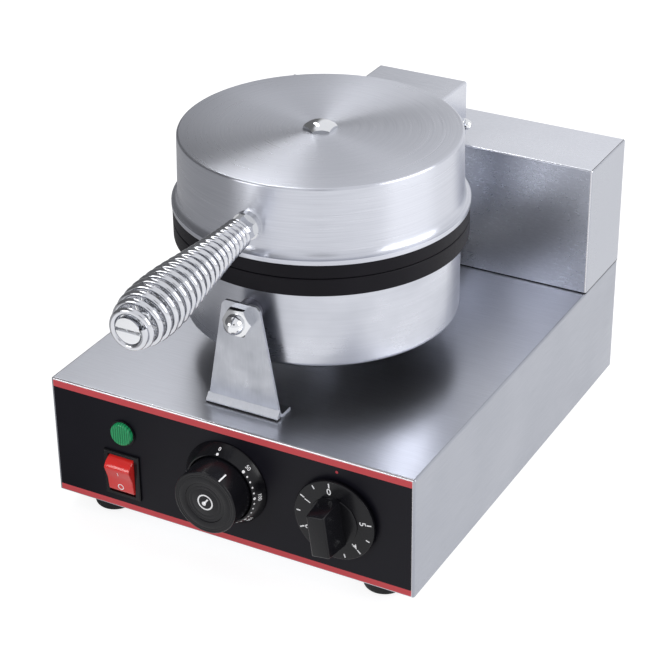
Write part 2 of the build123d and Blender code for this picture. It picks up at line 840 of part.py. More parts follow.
def handle_plane(distance=0):
    """Plane across the handle at a distance from the lid's wall, with Z along the handle."""
    along = Vector(0, -cos(handle_drop), -sin(handle_drop))
    start = Vector(0, pan_y - handle_root_radius, deck + handle_height)
    return Plane(origin=start + along * distance, x_dir=(1, 0, 0), z_dir=along)


def on_handle(shape, distance=0):
    return handle_plane(distance) * shape


def long_cylinder(radius, length):
    return Cylinder(radius, length, align=(Align.CENTER, Align.CENTER, Align.MIN))


def make_lid_shell():
    inside = Pos(0, pan_y, 0) * revolve(lid_outline(lid_sheet), Axis.Z)
    shell = lid_outside() - inside
    shell -= rod(center_stud_radius + small_clearance, 6, (0, pan_y, lid_top - 4), upward)
    return shell - on_handle(long_cylinder(handle_rod_radius + small_clearance, 16), -8)


def make_lid_plate():
    plate = Pos(0, pan_y, upper_plate_bottom) * long_cylinder(plate_radius, upper_plate_thickness)
    plate = fillet(plate.edges().filter_by(GeomType.CIRCLE), plate_edge_radius)
    plate += rod(lid_spigot_radius, spigot_height, (0, pan_y, rim_bottom), upward)
    plate += rod(boss_radius, boss_height, (0, pan_y, rim_bottom + spigot_height), upward)
    plate -= rod(center_stud_radius + pin_clearance, boss_height + spigot_height + 2,
                 (0, pan_y, rim_bottom + spigot_height + boss_height), downward)
    return plate - grooves(upper_plate_bottom, 45) - grooves(upper_plate_bottom, -45)


def make_lid_heater():
    return heater((0, pan_y, rim_bottom + spigot_height), upward)


def make_lid_insulation():
    bottom = rim_bottom + spigot_height + 2 * heater_tube_radius + insulation_clearance
    return insulation((0, pan_y, bottom), upward, lid_insulation_radius, lid_insulation_thickness)


def make_lid_center_stud():
    bottom = rim_bottom - 1
    return rod(center_stud_radius, lid_top + center_nut_height * 0.5 - bottom, (0, pan_y, bottom), upward)


def make_lid_center_nut():
    nut = hexagon(center_nut_width, center_nut_height, (0, pan_y, lid_top), upward)
    crown = Pos(0, pan_y, lid_top + center_nut_height - center_nut_crown) * Sphere(center_nut_crown)
    nut = nut & crown
    bore_depth = center_nut_height * 0.5 + 0.3
    return nut - rod(center_stud_radius + pin_clearance, bore_depth, (0, pan_y, lid_top), upward)


# ---------------------------------------------------------------- handle

def make_handle_washer():
    washer = on_handle(long_cylinder(handle_washer_radius, handle_washer_thickness + 4), -4)
    washer -= on_handle(long_cylinder(handle_rod_radius + pin_clearance, handle_washer_thickness + 6), -5)
    return washer - lid_outside()


def make_handle_nuts():
    """Two equal nuts that clamp the lid wall, one outside and one inside."""
    outline = RegularPolygon(radius=handle_nut_width / 2, side_count=6, major_radius=False)
    nut = extrude(outline, handle_nut_height)
    nut -= long_cylinder(handle_rod_radius + pin_clearance, handle_nut_height)
    inner_place = -lid_sheet - handle_nut_height - 1
    return group([on_handle(nut, handle_washer_thickness), on_handle(nut, inner_place)])


def make_handle_rod():
    """Long slotted screw that holds the coil against the lid."""
    start = -lid_sheet - handle_nut_height - 3
    head_start = handle_reach - coil_wire_radius / 2 - handle_head_length
    shank = long_cylinder(handle_rod_radius, head_start - start)
    head = Pos(0, 0, head_start - start) * long_cylinder(handle_head_radius, handle_head_length)
    collar = Pos(0, 0, head_start - start) * long_cylinder(handle_collar_radius, handle_collar_thickness)
    tip = head_start - start + handle_head_length - screw_slot_depth
    slot = Box(2 * handle_head_radius, screw_slot_width, screw_slot_depth)
    slot = Pos(0, 0, tip + screw_slot_depth / 2) * slot
    return on_handle(shank + head + collar - slot, start)


def coil_radius(share):
    """Outer radius of the coil at a share of its length, widest near its free end."""
    stations = ((0.0, coil_start_radius), (coil_middle_share, coil_middle_radius),
                (coil_widest_share, coil_widest_radius), (1.0, coil_end_radius))
    for (low, low_radius), (high, high_radius) in zip(stations, stations[1:]):
        if share <= high:
            part = (share - low) / (high - low)
            if high == 1.0:
                return low_radius + (high_radius - low_radius) * part ** 2.2
            if high == stations[2][0]:
                return low_radius + (high_radius - low_radius) * sin(part * pi / 2)
            return low_radius + (high_radius - low_radius) * part ** 1.3
    return coil_end_radius


def coil_travel(turn):
    """Distance along the coil to a turn, in pitches of its free end."""
    growing = min(turn, coil_even_turn)
    growth = growing ** 2 / (2 * coil_even_turn)
    return coil_first_pitch * growing + (1 - coil_first_pitch) * growth + turn - growing


def coil_stations():
    """Middle of each turn's wire as (radius, distance), turns wider apart towards the free end."""
    span = coil_length - 2 * coil_wire_radius
    stations = []
    for turn in range(coil_turns):
        share = coil_travel(turn) / coil_travel(coil_turns - 1)
        stations.append((coil_radius(share) - coil_wire_radius, coil_wire_radius + share * span))
    return stations


def make_handle_coil():
    """Spring handle: a ribbed sleeve with one round rib for each turn of wire."""
    stations = coil_stations()
    wire = coil_wire_radius
    pieces = []
    previous = (stations[0][0], 0.0)
    for index, (radius, distance) in enumerate(stations):
        low = (radius, distance - wire)
        high = (radius, distance + wire)
        if index:
            pieces.append(Line(previous, low))
        pieces.append(ThreePointArc(low, (radius + wire, distance), high))
        previous = high
    inner = [previous]
    for radius, distance in reversed(stations):
        inner.append((radius - wire, distance))
    inner.append((stations[0][0], stations[0][1] - wire))
    pieces.append(Polyline(*inner))
    face = make_face(Plane.XZ * (Curve() + pieces))
    return on_handle(revolve(face, Axis.Z), handle_start)


# ---------------------------------------------------------------- front panel

def indicator_place(depth=0.0):
    return (indicator_x, front + depth, shell_bottom + indicator_height)


def switch_level():
    return shell_bottom + switch_height


def housing_half_width():
    return rocker_width / 2 + rocker_clearance + switch_wall


def housing_half_height():
    return rocker_radius + rocker_clearance


def make_front_overlay():
    half = base_width / 2 - overlay_side_margin
    overlay = block(-half, half, front - overlay_thickness, front,
                    shell_bottom + overlay_edge_margin, deck - bend_radius)
    depth = 4 * overlay_thickness
    overlay -= rod(indicator_barrel_radius + small_clearance, depth,
                   indicator_place(overlay_thickness), toward_front)
    overlay -= switch_cutout(depth)
    for x, height in ((thermostat_x, thermostat_height), (timer_x, timer_height)):
        overlay -= rod(control_screw_spacing / 2 + screw_head_radius + 1, depth,
                       (x, front + overlay_thickness, shell_bottom + height), toward_front)
    return overlay


def make_indicator_body():
    face = front - overlay_thickness
    place = (indicator_x, face, shell_bottom + indicator_height)
    body = rod(indicator_flange_radius, indicator_flange_thickness, place, toward_front)
    return body + rod(indicator_barrel_radius, indicator_barrel_length, place, toward_back)


def make_indicator_nut():
    place = (indicator_x, front + sheet, shell_bottom + indicator_height)
    return hex_nut(place, toward_back, indicator_barrel_radius, indicator_nut_width, nut_height)


def make_indicator_lens():
    face = front - overlay_thickness - indicator_flange_thickness
    lens = rod(lens_radius, lens_height, (indicator_x, face, shell_bottom + indicator_height), toward_front)
    return fillet(lens.edges().filter_by(GeomType.CIRCLE).sort_by(Axis.Y)[0], lens_height * 0.6)


def switch_cutout(depth):
    """Rectangle through the panel for the switch housing."""
    half_width = housing_half_width() + small_clearance
    half_height = housing_half_height() + small_clearance
    return block(switch_x - half_width, switch_x + half_width, front - depth, front + depth,
                 switch_level() - half_height, switch_level() + half_height)


def rocker_axis():
    return (switch_x, front + rocker_pivot_depth, switch_level())


def make_switch_body():
    x = switch_x
    z = switch_level()
    face = front - overlay_thickness
    bezel = block(x - bezel_width / 2, x + bezel_width / 2, face - bezel_thickness, face,
                  z - bezel_height / 2, z + bezel_height / 2)
    bezel = chamfer(bezel.faces().sort_by(Axis.Y)[0].edges(), 0.7)
    half_width = housing_half_width()
    half_height = housing_half_height()
    body = bezel + block(x - half_width, x + half_width, face, front + switch_depth,
                         z - half_height, z + half_height)
    cavity_back = front + rocker_pivot_depth + rocker_radius + rocker_clearance
    cavity_half = rocker_width / 2 + rocker_clearance
    body -= block(x - cavity_half, x + cavity_half, face - bezel_thickness - 1, cavity_back,
                  z - half_height + 0.01, z + half_height - 0.01)
    body += end_walls(x, z, cavity_half, face, cavity_back)
    for side in (-1, 1):
        body -= rod(rocker_pin_radius + pin_clearance, rocker_pin_length + rocker_clearance,
                    (x + side * cavity_half, front + rocker_pivot_depth, z), (side, 0, 0))
    return body


def end_walls(x, z, half_width, face, cavity_back):
    """Walls above and below the rocker, behind the panel, clear of its travel."""
    walls = []
    limit = rocker_radius + rocker_clearance
    start = front + rocker_pivot_depth + rocker_radius * 0.5
    for side in (-1, 1):
        inner = z + side * limit
        outer = z + side * (limit - 1.2)
        walls.append(block(x - half_width, x + half_width, start, cavity_back,
                           min(inner, outer), max(inner, outer)))
    return walls


def make_switch_terminals():
    y0 = front + switch_depth
    terminals = []
    for dx in (-5, 5):
        for dz in (-8, 8):
            x = switch_x + dx
            z = switch_level() + dz
            terminals.append(block(x - terminal_thickness / 2, x + terminal_thickness / 2,
                                   y0, y0 + terminal_length,
                                   z - terminal_width / 2, z + terminal_width / 2))
    return group(terminals)


def make_rocker():
    """Rocker tilted with its lower end pressed in."""
    radius = rocker_radius
    rise = sqrt(radius ** 2 - rocker_face_half ** 2)
    shoulder = (radius * cos(rocker_shoulder), radius * sin(rocker_shoulder))
    heel = (-radius * rocker_heel, radius * sqrt(1 - rocker_heel ** 2))
    outline = [Line((rise, -rocker_face_half), (rise - rocker_valley, 0)),
               Line((rise - rocker_valley, 0), (rise, rocker_face_half)),
               ThreePointArc((rise, rocker_face_half), shoulder, heel),
               Line(heel, (heel[0], -heel[1])),
               ThreePointArc((heel[0], -heel[1]), (shoulder[0], -shoulder[1]), (rise, -rocker_face_half))]
    middle_plane = Plane(origin=(0, 0, 0), x_dir=toward_front, z_dir=(1, 0, 0))
    body = extrude(middle_plane * make_face(Curve() + outline), rocker_width / 2, both=True)
    pin_length = rocker_width + 2 * (rocker_clearance + rocker_pin_length)
    pins = Rot(0, 90, 0) * Cylinder(rocker_pin_radius, pin_length)
    return Pos(*rocker_axis()) * (Rot(rocker_tilt, 0, 0) * (body + pins))


def control_body(x, height, size, depth):
    """Switching block behind the panel, with a threaded bush for the shaft and two tapped holes."""
    z = shell_bottom + height
    start = front + sheet
    body = block(x - size / 2, x + size / 2, start, start + depth, z - size / 2, z + size / 2)
    body += rod(bush_radius, bush_length, (x, start, z), toward_front)
    bore_place = (x, start - bush_length - 1, z)
    body -= rod(shaft_radius + pin_clearance, bush_length + shaft_inside + 1, bore_place, toward_back)
    for side in (-1, 1):
        screw_place = (x + side * control_screw_spacing / 2, start, z)
        body -= rod(control_screw_radius + pin_clearance, 8, screw_place, toward_back)
    return body


def make_control_screws():
    """Two equal screws through the front sheet into each dial's switching block."""
    screws = []
    for x, height in ((thermostat_x, thermostat_height), (timer_x, timer_height)):
        for side in (-1, 1):
            place = (x + side * control_screw_spacing / 2, front, shell_bottom + height)
            screws.append(screw(place, toward_back, sheet + 6, control_screw_radius))
    return group(screws)


def control_shaft(x, height, reach):
    z = shell_bottom + height
    start = front + sheet + shaft_inside - bush_length
    return rod(shaft_radius, start - (front - reach), (x, start, z), toward_front)


def control_axis(x, height):
    return (x, front - overlay_thickness, shell_bottom + height)


def make_thermostat_bezel():
    """Fixed conical ring that carries the temperature marks."""
    inner = knob_base_radius + knob_gap
    top = dial_bezel_height
    wall = dial_bezel_wall
    outline = [(dial_bezel_radius, 0), (dial_bezel_radius, wall), (inner + wall, top), (inner, top),
               (inner, top - wall), (dial_bezel_radius - 2 * wall, 0)]
    return turned(outline, control_axis(thermostat_x, thermostat_height), toward_front)


def make_thermostat_knob():
    start = panel_air_gap + screw_head_height
    outline = [(0, start), (knob_base_radius, start), (knob_radius, knob_length), (0, knob_length)]
    knob = turned(outline)
    knob = fillet(knob.edges().filter_by(GeomType.CIRCLE).sort_by(Axis.Z)[-1], 0.9)
    dish = Pos(0, 0, knob_length) * Cylinder(knob_dish_radius, 2 * knob_dish_depth)
    knob = knob - dish
    knob -= Pos(0, 0, start) * long_cylinder(shaft_radius + pin_clearance, shaft_engagement)
    knob -= Pos(0, 0, start) * long_cylinder(bush_radius + 1, bush_length)
    return Plane(origin=control_axis(thermostat_x, thermostat_height), z_dir=toward_front) * knob


def make_timer_knob():
    """Turning disc with a bar grip; the bar stands upright at zero."""
    start = panel_air_gap + screw_head_height
    knob = Pos(0, 0, start) * long_cylinder(timer_disc_radius, timer_disc_thickness)
    knob = fillet(knob.edges().filter_by(GeomType.CIRCLE).sort_by(Axis.Z)[-1], 0.8)
    grip = Pos(0, 0, start) * long_cylinder(timer_grip_radius, timer_grip_length - start)
    grip = fillet(grip.edges().filter_by(GeomType.CIRCLE).sort_by(Axis.Z)[-1], 1.5)
    for side in (-1, 1):
        middle = side * (timer_grip_width / 2 + timer_flank_radius)
        flank = Pos(middle, 0, timer_grip_length - 5) * (Rot(90, 0, 0) * Cylinder(timer_flank_radius, 60))
        flank += Pos(middle, 0, timer_grip_length + 15) * Box(2 * timer_flank_radius, 60, 40)
        grip = grip - flank
    knob = knob + grip
    knob -= Pos(0, 0, start) * long_cylinder(shaft_radius + pin_clearance, shaft_engagement)
    knob -= Pos(0, 0, start) * long_cylinder(bush_radius + 1, bush_length)
    axis = Plane(origin=control_axis(timer_x, timer_height), x_dir=(1, 0, 0), z_dir=toward_front)
    return axis * knob


def shaft_reach():
    return overlay_thickness + panel_air_gap + screw_head_height + shaft_engagement


nodes = {
    "deck_sheet": make_deck_sheet,
    "front_sheet": lambda: make_end_sheet(-1),
    "back_sheet": lambda: make_end_sheet(1),
    "side_left": lambda: make_side_sheet(-1),
    "side_right": lambda: make_side_sheet(1),
    "bottom_plate": make_bottom_plate,
    "foot_screws": make_foot_screws,
    "foot_nuts": make_foot_nuts,
    "rear_box": make_rear_box,
    "rear_cover": make_rear_cover,
    "cover_screws": make_cover_screws,
    "cable_gland": make_cable_gland,
    "gland_nut": make_gland_nut,
    "terminal_block": make_terminal_block,
    "lower_pan": make_lower_pan,
    "lower_plate": make_lower_plate,
    "lower_heater": make_lower_heater,
    "lower_insulation": make_lower_insulation,
    "lower_center_bolt": make_lower_center_bolt,
    "front_bracket": make_front_bracket,
    "bracket_screws": make_bracket_screws,
    "bracket_spacer": make_bracket_spacer,
    "bracket_bolt": make_bracket_bolt,
    "bracket_cap_nut": make_bracket_cap_nut,
    "hinge_bracket": make_hinge_bracket,
    "hinge_bracket_bolts": make_hinge_bracket_bolts,
    "hinge_bracket_nuts": make_hinge_bracket_nuts,
    "hinge_pin": make_hinge_pin,
    "hinge_washers": make_hinge_washers,
    "hinge_cap_nuts": make_hinge_cap_nuts,
    "hinge_cover": make_hinge_cover,
    "lid_shell": make_lid_shell,
    "lid_plate": make_lid_plate,
    "lid_heater": make_lid_heater,
    "lid_insulation": make_lid_insulation,
    "lid_center_stud": make_lid_center_stud,
    "lid_center_nut": make_lid_center_nut,
    "handle_washer": make_handle_washer,
    "handle_nuts": make_handle_nuts,
    "handle_rod": make_handle_rod,
    "handle_coil": make_handle_coil,
    "front_overlay": make_front_overlay,
    "indicator_body": make_indicator_body,
    "indicator_nut": make_indicator_nut,
    "indicator_lens": make_indicator_lens,
    "switch_body": make_switch_body,
    "switch_terminals": make_switch_terminals,
    "rocker": make_rocker,
    "control_screws": make_control_screws,
    "thermostat_body": lambda: control_body(thermostat_x, thermostat_height,
                                            thermostat_box, thermostat_box_depth),
    "thermostat_shaft": lambda: control_shaft(thermostat_x, thermostat_height, shaft_reach()),
    "thermostat_bezel": make_thermostat_bezel,
    "thermostat_knob": make_thermostat_knob,
    "timer_body": lambda: control_body(timer_x, timer_height, timer_box, timer_box_depth),
    "timer_shaft": lambda: control_shaft(timer_x, timer_height, shaft_reach()),
    "timer_knob": make_timer_knob,
}

foot_names = ("foot_front_left", "foot_front_right", "foot_back_left", "foot_back_right")
for name, (foot_x, foot_y) in zip(foot_names, corners(foot_side_inset, foot_end_inset)):
    nodes[name] = lambda x=foot_x, y=foot_y: make_foot(x, y)

for name, make in nodes.items():
    export_step(make(), f"parts/{name}.step")
print(len(nodes), "nodes; front", round(front, 3), "deck", round(deck, 3))
print("pivot", round(pivot_y, 3), round(pivot_z, 3), "rocker axis", [round(v, 3) for v in rocker_axis()])
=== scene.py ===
import math

import bmesh
import bpy
from mathutils import Matrix, Vector


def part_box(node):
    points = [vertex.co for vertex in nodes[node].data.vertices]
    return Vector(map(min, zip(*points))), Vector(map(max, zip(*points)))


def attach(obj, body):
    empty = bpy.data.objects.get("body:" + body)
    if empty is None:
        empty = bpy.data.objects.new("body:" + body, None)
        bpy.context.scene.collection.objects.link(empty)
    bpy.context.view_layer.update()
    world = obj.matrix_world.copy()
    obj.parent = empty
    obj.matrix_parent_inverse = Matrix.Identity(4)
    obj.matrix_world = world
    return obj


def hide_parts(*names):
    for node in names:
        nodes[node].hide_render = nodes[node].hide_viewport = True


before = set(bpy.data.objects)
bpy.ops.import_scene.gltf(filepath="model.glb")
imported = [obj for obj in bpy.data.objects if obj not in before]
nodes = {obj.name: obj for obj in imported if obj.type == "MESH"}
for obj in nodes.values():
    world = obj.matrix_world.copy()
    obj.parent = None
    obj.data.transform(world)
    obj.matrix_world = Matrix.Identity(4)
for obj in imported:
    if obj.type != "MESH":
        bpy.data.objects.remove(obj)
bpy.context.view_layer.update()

mm = 0.001
bumpDepth = 0.1 * mm
squareCorners = ((-1, -1), (1, -1), (1, 1), (-1, 1))
print("frame loaded:", len(nodes), "nodes")


def centerOf(nodeName):
    low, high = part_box(nodeName)
    return (low + high) / 2


# Places taken from the frame, in metres
panelLow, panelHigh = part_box("front_overlay")
panelFace = panelLow.y
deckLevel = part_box("deck_sheet")[1].z
lidLow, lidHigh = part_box("lid_shell")
panLow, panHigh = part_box("lower_pan")
panCenter = Vector(((panLow.x + panHigh.x) / 2, (panLow.y + panHigh.y) / 2, 0))
towerLow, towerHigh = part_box("rear_box")
bracketLow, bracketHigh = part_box("front_bracket")
thermostatCenter = centerOf("thermostat_knob")
timerCenter = centerOf("timer_knob")


# Mesh helpers: outlines and sizes are in millimetres, placements and finished meshes in metres

def finishPiece(bm, name, body, finish, sharpAngle, stands=()):
    bmesh.ops.recalc_face_normals(bm, faces=bm.faces)
    mesh = bpy.data.meshes.new(name)
    bm.to_mesh(mesh)
    bm.free()
    mesh.shade_smooth()
    mesh.set_sharp_from_angle(angle=math.radians(sharpAngle))
    mesh.materials.append(materials[finish])
    piece = bpy.data.objects.new(name, mesh)
    bpy.context.scene.collection.objects.link(piece)
    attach(piece, body)
    if stands:
        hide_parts(*stands)


def axisFrame(place, along):
    # local Z goes along the direction, and local Y stays near upright, or near +Y on an upright axis
    zAxis = Vector(along).normalized()
    hint = Vector((0, 1, 0)) if abs(zAxis.z) > 0.99 else Vector((0, 0, 1))
    xAxis = hint.cross(zAxis).normalized()
    turn = Matrix((xAxis, zAxis.cross(xAxis), zAxis)).transposed()
    return Matrix.Translation(Vector(place)) @ turn.to_4x4()


def panelAxis(center):
    # local Z goes out of the panel, and local Y up
    return axisFrame((center.x, panelFace, center.z), (0, -1, 0))


def addRing(bm, placement, points):
    return [bm.verts.new(placement @ (Vector(point) * mm)) for point in points]


def circle(radius, height, segments, start=0.0):
    angles = [start + 2 * math.pi * step / segments for step in range(segments)]
    return [(radius * math.cos(angle), radius * math.sin(angle), height) for angle in angles]


def joinRings(bm, rings, closed=False):
    # quads between neighbouring rings, and triangles to a ring that is a single vertex
    pairs = list(zip(rings, rings[1:]))
    if closed:
        pairs.append((rings[-1], rings[0]))
    faces = []
    for lower, upper in pairs:
        count = max(len(lower), len(upper))
        for step in range(count):
            after = (step + 1) % count
            corners = [lower[step % len(lower)], lower[after % len(lower)],
                       upper[after % len(upper)], upper[step % len(upper)]]
            faces.append(bm.faces.new(list(dict.fromkeys(corners))))
    return faces


def addLathe(bm, profile, placement, segments=128, closed=False):
    # turns (radius, height) points about local Z
    rings = [addRing(bm, placement, circle(radius, height, segments if radius > 1e-4 else 1))
             for radius, height in profile]
    joinRings(bm, rings, closed)


def arcPoints(center, radius, startAngle, endAngle, steps):
    turn = math.radians(endAngle - startAngle)
    angles = [math.radians(startAngle) + turn * step / steps for step in range(steps + 1)]
    return [(center[0] + radius * math.cos(angle), center[1] + radius * math.sin(angle)) for angle in angles]


def addPrism(bm, outline, depthLow, depthHigh, placement):
    rings = [addRing(bm, placement, [(x, y, depth) for x, y in outline])
             for depth in (depthLow, depthHigh)]
    return [bm.faces.new(rings[0]), bm.faces.new(rings[1])] + joinRings(bm, rings)


def roundEdges(bm, faces, width, steps, profile):
    # bevels those edges of the faces that turn by more than 25 degrees
    bmesh.ops.recalc_face_normals(bm, faces=faces)
    edges = [edge for edge in dict.fromkeys(edge for face in faces for edge in face.edges)
             if edge.calc_face_angle(0) > math.radians(25)]
    bmesh.ops.bevel(bm, geom=edges, offset=width, segments=steps, profile=profile, affect="EDGES",
                    clamp_overlap=True)


def addTube(bm, points, radius, sides):
    # round wire along points in metres, with flat ends
    rings = []
    normal = None
    for index, point in enumerate(points):
        tangent = (points[min(index + 1, len(points) - 1)] - points[max(index - 1, 0)]).normalized()
        if normal is None:
            normal = tangent.orthogonal().normalized()
        normal = (normal - tangent * normal.dot(tangent)).normalized()
        other = tangent.cross(normal)
        rings.append([bm.verts.new(point + (normal * x + other * y) * mm)
                      for x, y, _ in circle(radius, 0.0, sides)])
    joinRings(bm, rings)
    bm.faces.new(rings[0])
    bm.faces.new(rings[-1])


nutShape = {"faceRadius": 0.93, "stepsPerSide": 8, "dropAtFlat": 0.35, "dropToCorner": 1.6}


def addNut(bm, acrossFlats, height, placement, chamfer, boreRadius=0.0, turned=0.0):
    # hexagon whose top corners are turned down to a circle; chamfer is a share of the height
    shape = nutShape
    flat = acrossFlats / 2
    cornerReach = flat * (2 / math.sqrt(3) - 1)
    count = 6 * shape["stepsPerSide"]
    foot = []
    shoulder = []
    for step in range(count):
        local = 360 * step / count % 60 - 30
        angle = math.radians(360 * step / count - 30 + turned)
        reach = flat / math.cos(math.radians(local))
        drop = shape["dropAtFlat"] + shape["dropToCorner"] * (reach - flat) / cornerReach
        foot.append((reach * math.cos(angle), reach * math.sin(angle), 0.0))
        shoulder.append((*foot[-1][:2], height - height * chamfer * drop))
    start = math.radians(turned - 30)
    outlines = [foot, shoulder, circle(flat * shape["faceRadius"], height, count, start)]
    if boreRadius:
        outlines += [circle(boreRadius, height, count, start), circle(boreRadius, 0.0, count, start)]
    rings = [addRing(bm, placement, outline) for outline in outlines]
    joinRings(bm, rings, bool(boreRadius))
    if not boreRadius:
        bm.faces.new(rings[0])
        bm.faces.new(rings[-1])


# Shader helpers

def opaque(color):
    return (*color, 1.0) if isinstance(color, tuple) else color


def feed(tree, value, socket):
    # a socket is linked, and a number or a row of numbers is set
    if isinstance(value, bpy.types.NodeSocket):
        tree.links.new(value, socket)
    else:
        socket.default_value = value


def addNode(tree, kind, inputs, **settings):
    node = tree.nodes.new(kind)
    for key, value in settings.items():
        setattr(node, key, value)
    for key, value in inputs.items():
        feed(tree, value, node.inputs[key])
    return node


def mathNode(tree, operation, first, second=0.5):
    return addNode(tree, "ShaderNodeMath", {0: first, 1: second}, operation=operation).outputs[0]


def vectorNode(tree, operation, first, second=(0.0, 0.0, 0.0)):
    return addNode(tree, "ShaderNodeVectorMath", {0: first, 1: second}, operation=operation).outputs[0]


def rangeNode(tree, value, low, high, outLow, outHigh, kind="LINEAR"):
    inputs = {"Value": value, "From Min": low, "From Max": high, "To Min": outLow, "To Max": outHigh}
    return addNode(tree, "ShaderNodeMapRange", inputs, interpolation_type=kind).outputs["Result"]


def fromNoise(tree, noise, outLow, outHigh):
    # noise keeps near its middle, so only that part of it is spread out
    return rangeNode(tree, noise, 0.3, 0.7, outLow, outHigh)


def mixColor(tree, factor, first, second):
    # sockets 6 and 7 of this node are its two colours
    inputs = {"Factor": factor, 6: opaque(first), 7: opaque(second)}
    return addNode(tree, "ShaderNodeMix", inputs, data_type="RGBA").outputs[2]


def noiseNode(tree, place, scale, detail, roughness=0.5):
    inputs = {"Vector": place, "Scale": scale, "Detail": detail, "Roughness": roughness}
    return addNode(tree, "ShaderNodeTexNoise", inputs).outputs["Fac"]


def objectPlace(tree):
    return addNode(tree, "ShaderNodeTexCoord", {}).outputs["Object"]


def splitNode(tree, vector):
    return addNode(tree, "ShaderNodeSeparateXYZ", {0: vector}).outputs


def newGroup(name, inputs, outputs):
    group = bpy.data.node_groups.new(name, "ShaderNodeTree")
    for socketName, value in inputs.items():
        socketType = "NodeSocketVector" if isinstance(value, tuple) else "NodeSocketFloat"
        socket = group.interface.new_socket(name=socketName, in_out="INPUT", socket_type=socketType)
        socket.default_value = value
    for socketName in outputs:
        group.interface.new_socket(name=socketName, in_out="OUTPUT", socket_type="NodeSocketFloat")
    return group, group.nodes.new("NodeGroupInput").outputs, group.nodes.new("NodeGroupOutput").inputs


def buildStraightGrain():
    # brushed lines: noise drawn out along one axis of the piece
    group, given, made = newGroup(
        "straightGrain", {"Stretch": (60.0, 1200.0, 1200.0), "Cloud Scale": 18.0}, ["Line", "Cloud"])
    place = objectPlace(group)
    drawn = vectorNode(group, "MULTIPLY", place, given["Stretch"])
    feed(group, noiseNode(group, drawn, 1.0, 3.0, 0.65), made["Line"])
    feed(group, noiseNode(group, place, given["Cloud Scale"], 2.0), made["Cloud"])
    return group


def buildTurnedGrain():
    # rings left by spinning, about an upright axis through a centre
    group, given, made = newGroup(
        "turnedGrain", {"Center": (0.0, 0.0, 0.0), "Ring Scale": 1500.0, "Cloud Scale": 20.0},
        ["Line", "Cloud"])
    place = objectPlace(group)
    x, y, z = splitNode(group, vectorNode(group, "SUBTRACT", place, given["Center"]))
    squareX = mathNode(group, "MULTIPLY", x, x)
    squareY = mathNode(group, "MULTIPLY", y, y)
    radius = mathNode(group, "SQRT", mathNode(group, "ADD", squareX, squareY))
    around = mathNode(group, "DIVIDE", x, mathNode(group, "MAXIMUM", radius, 1.0 * mm))
    joined = addNode(group, "ShaderNodeCombineXYZ", {
        0: mathNode(group, "MULTIPLY", radius, given["Ring Scale"]),
        1: mathNode(group, "MULTIPLY", z, given["Ring Scale"]),
        2: mathNode(group, "MULTIPLY", around, 3.0)})
    feed(group, noiseNode(group, joined.outputs[0], 1.0, 3.0), made["Line"])
    feed(group, noiseNode(group, place, given["Cloud Scale"], 2.0), made["Cloud"])
    return group


def buildSpeckle():
    # small marks of a moulded, coated or polished surface
    group, given, made = newGroup("speckle", {"Scale": 900.0}, ["Fine", "Soft"])
    place = objectPlace(group)
    feed(group, noiseNode(group, place, given["Scale"], 4.0), made["Fine"])
    softScale = mathNode(group, "MULTIPLY", given["Scale"], 0.03)
    feed(group, noiseNode(group, place, softScale, 2.0), made["Soft"])
    return group


def buildBoxMask():
    # one inside a box of the piece's coordinates, and zero outside it
    group, given, made = newGroup(
        "boxMask", {"Low": (-1.0, -1.0, -1.0), "High": (1.0, 1.0, 1.0)}, ["Mask"])
    place = objectPlace(group)
    sides = [*splitNode(group, vectorNode(group, "SUBTRACT", place, given["Low"])),
             *splitNode(group, vectorNode(group, "SUBTRACT", given["High"], place))]
    least = sides[0]
    for side in sides[1:]:
        least = mathNode(group, "MINIMUM", least, side)
    feed(group, mathNode(group, "GREATER_THAN", least, 0.0), made["Mask"])
    return group


straightGrain = buildStraightGrain()
turnedGrain = buildTurnedGrain()
speckle = buildSpeckle()
boxMask = buildBoxMask()
farSide = 10.0  # metres, for the open side of a box


def newMaterial(name):
    material = bpy.data.materials.new(name)
    material.use_nodes = True
    tree = material.node_tree
    return material, tree, tree.nodes["Principled BSDF"].inputs


def useGroup(tree, group, inputs):
    return addNode(tree, "ShaderNodeGroup", inputs, node_tree=group).outputs


def addBump(tree, shader, height, strength):
    bump = addNode(tree, "ShaderNodeBump", {"Strength": strength, "Distance": bumpDepth, "Height": height})
    feed(tree, bump.outputs["Normal"], shader["Normal"])


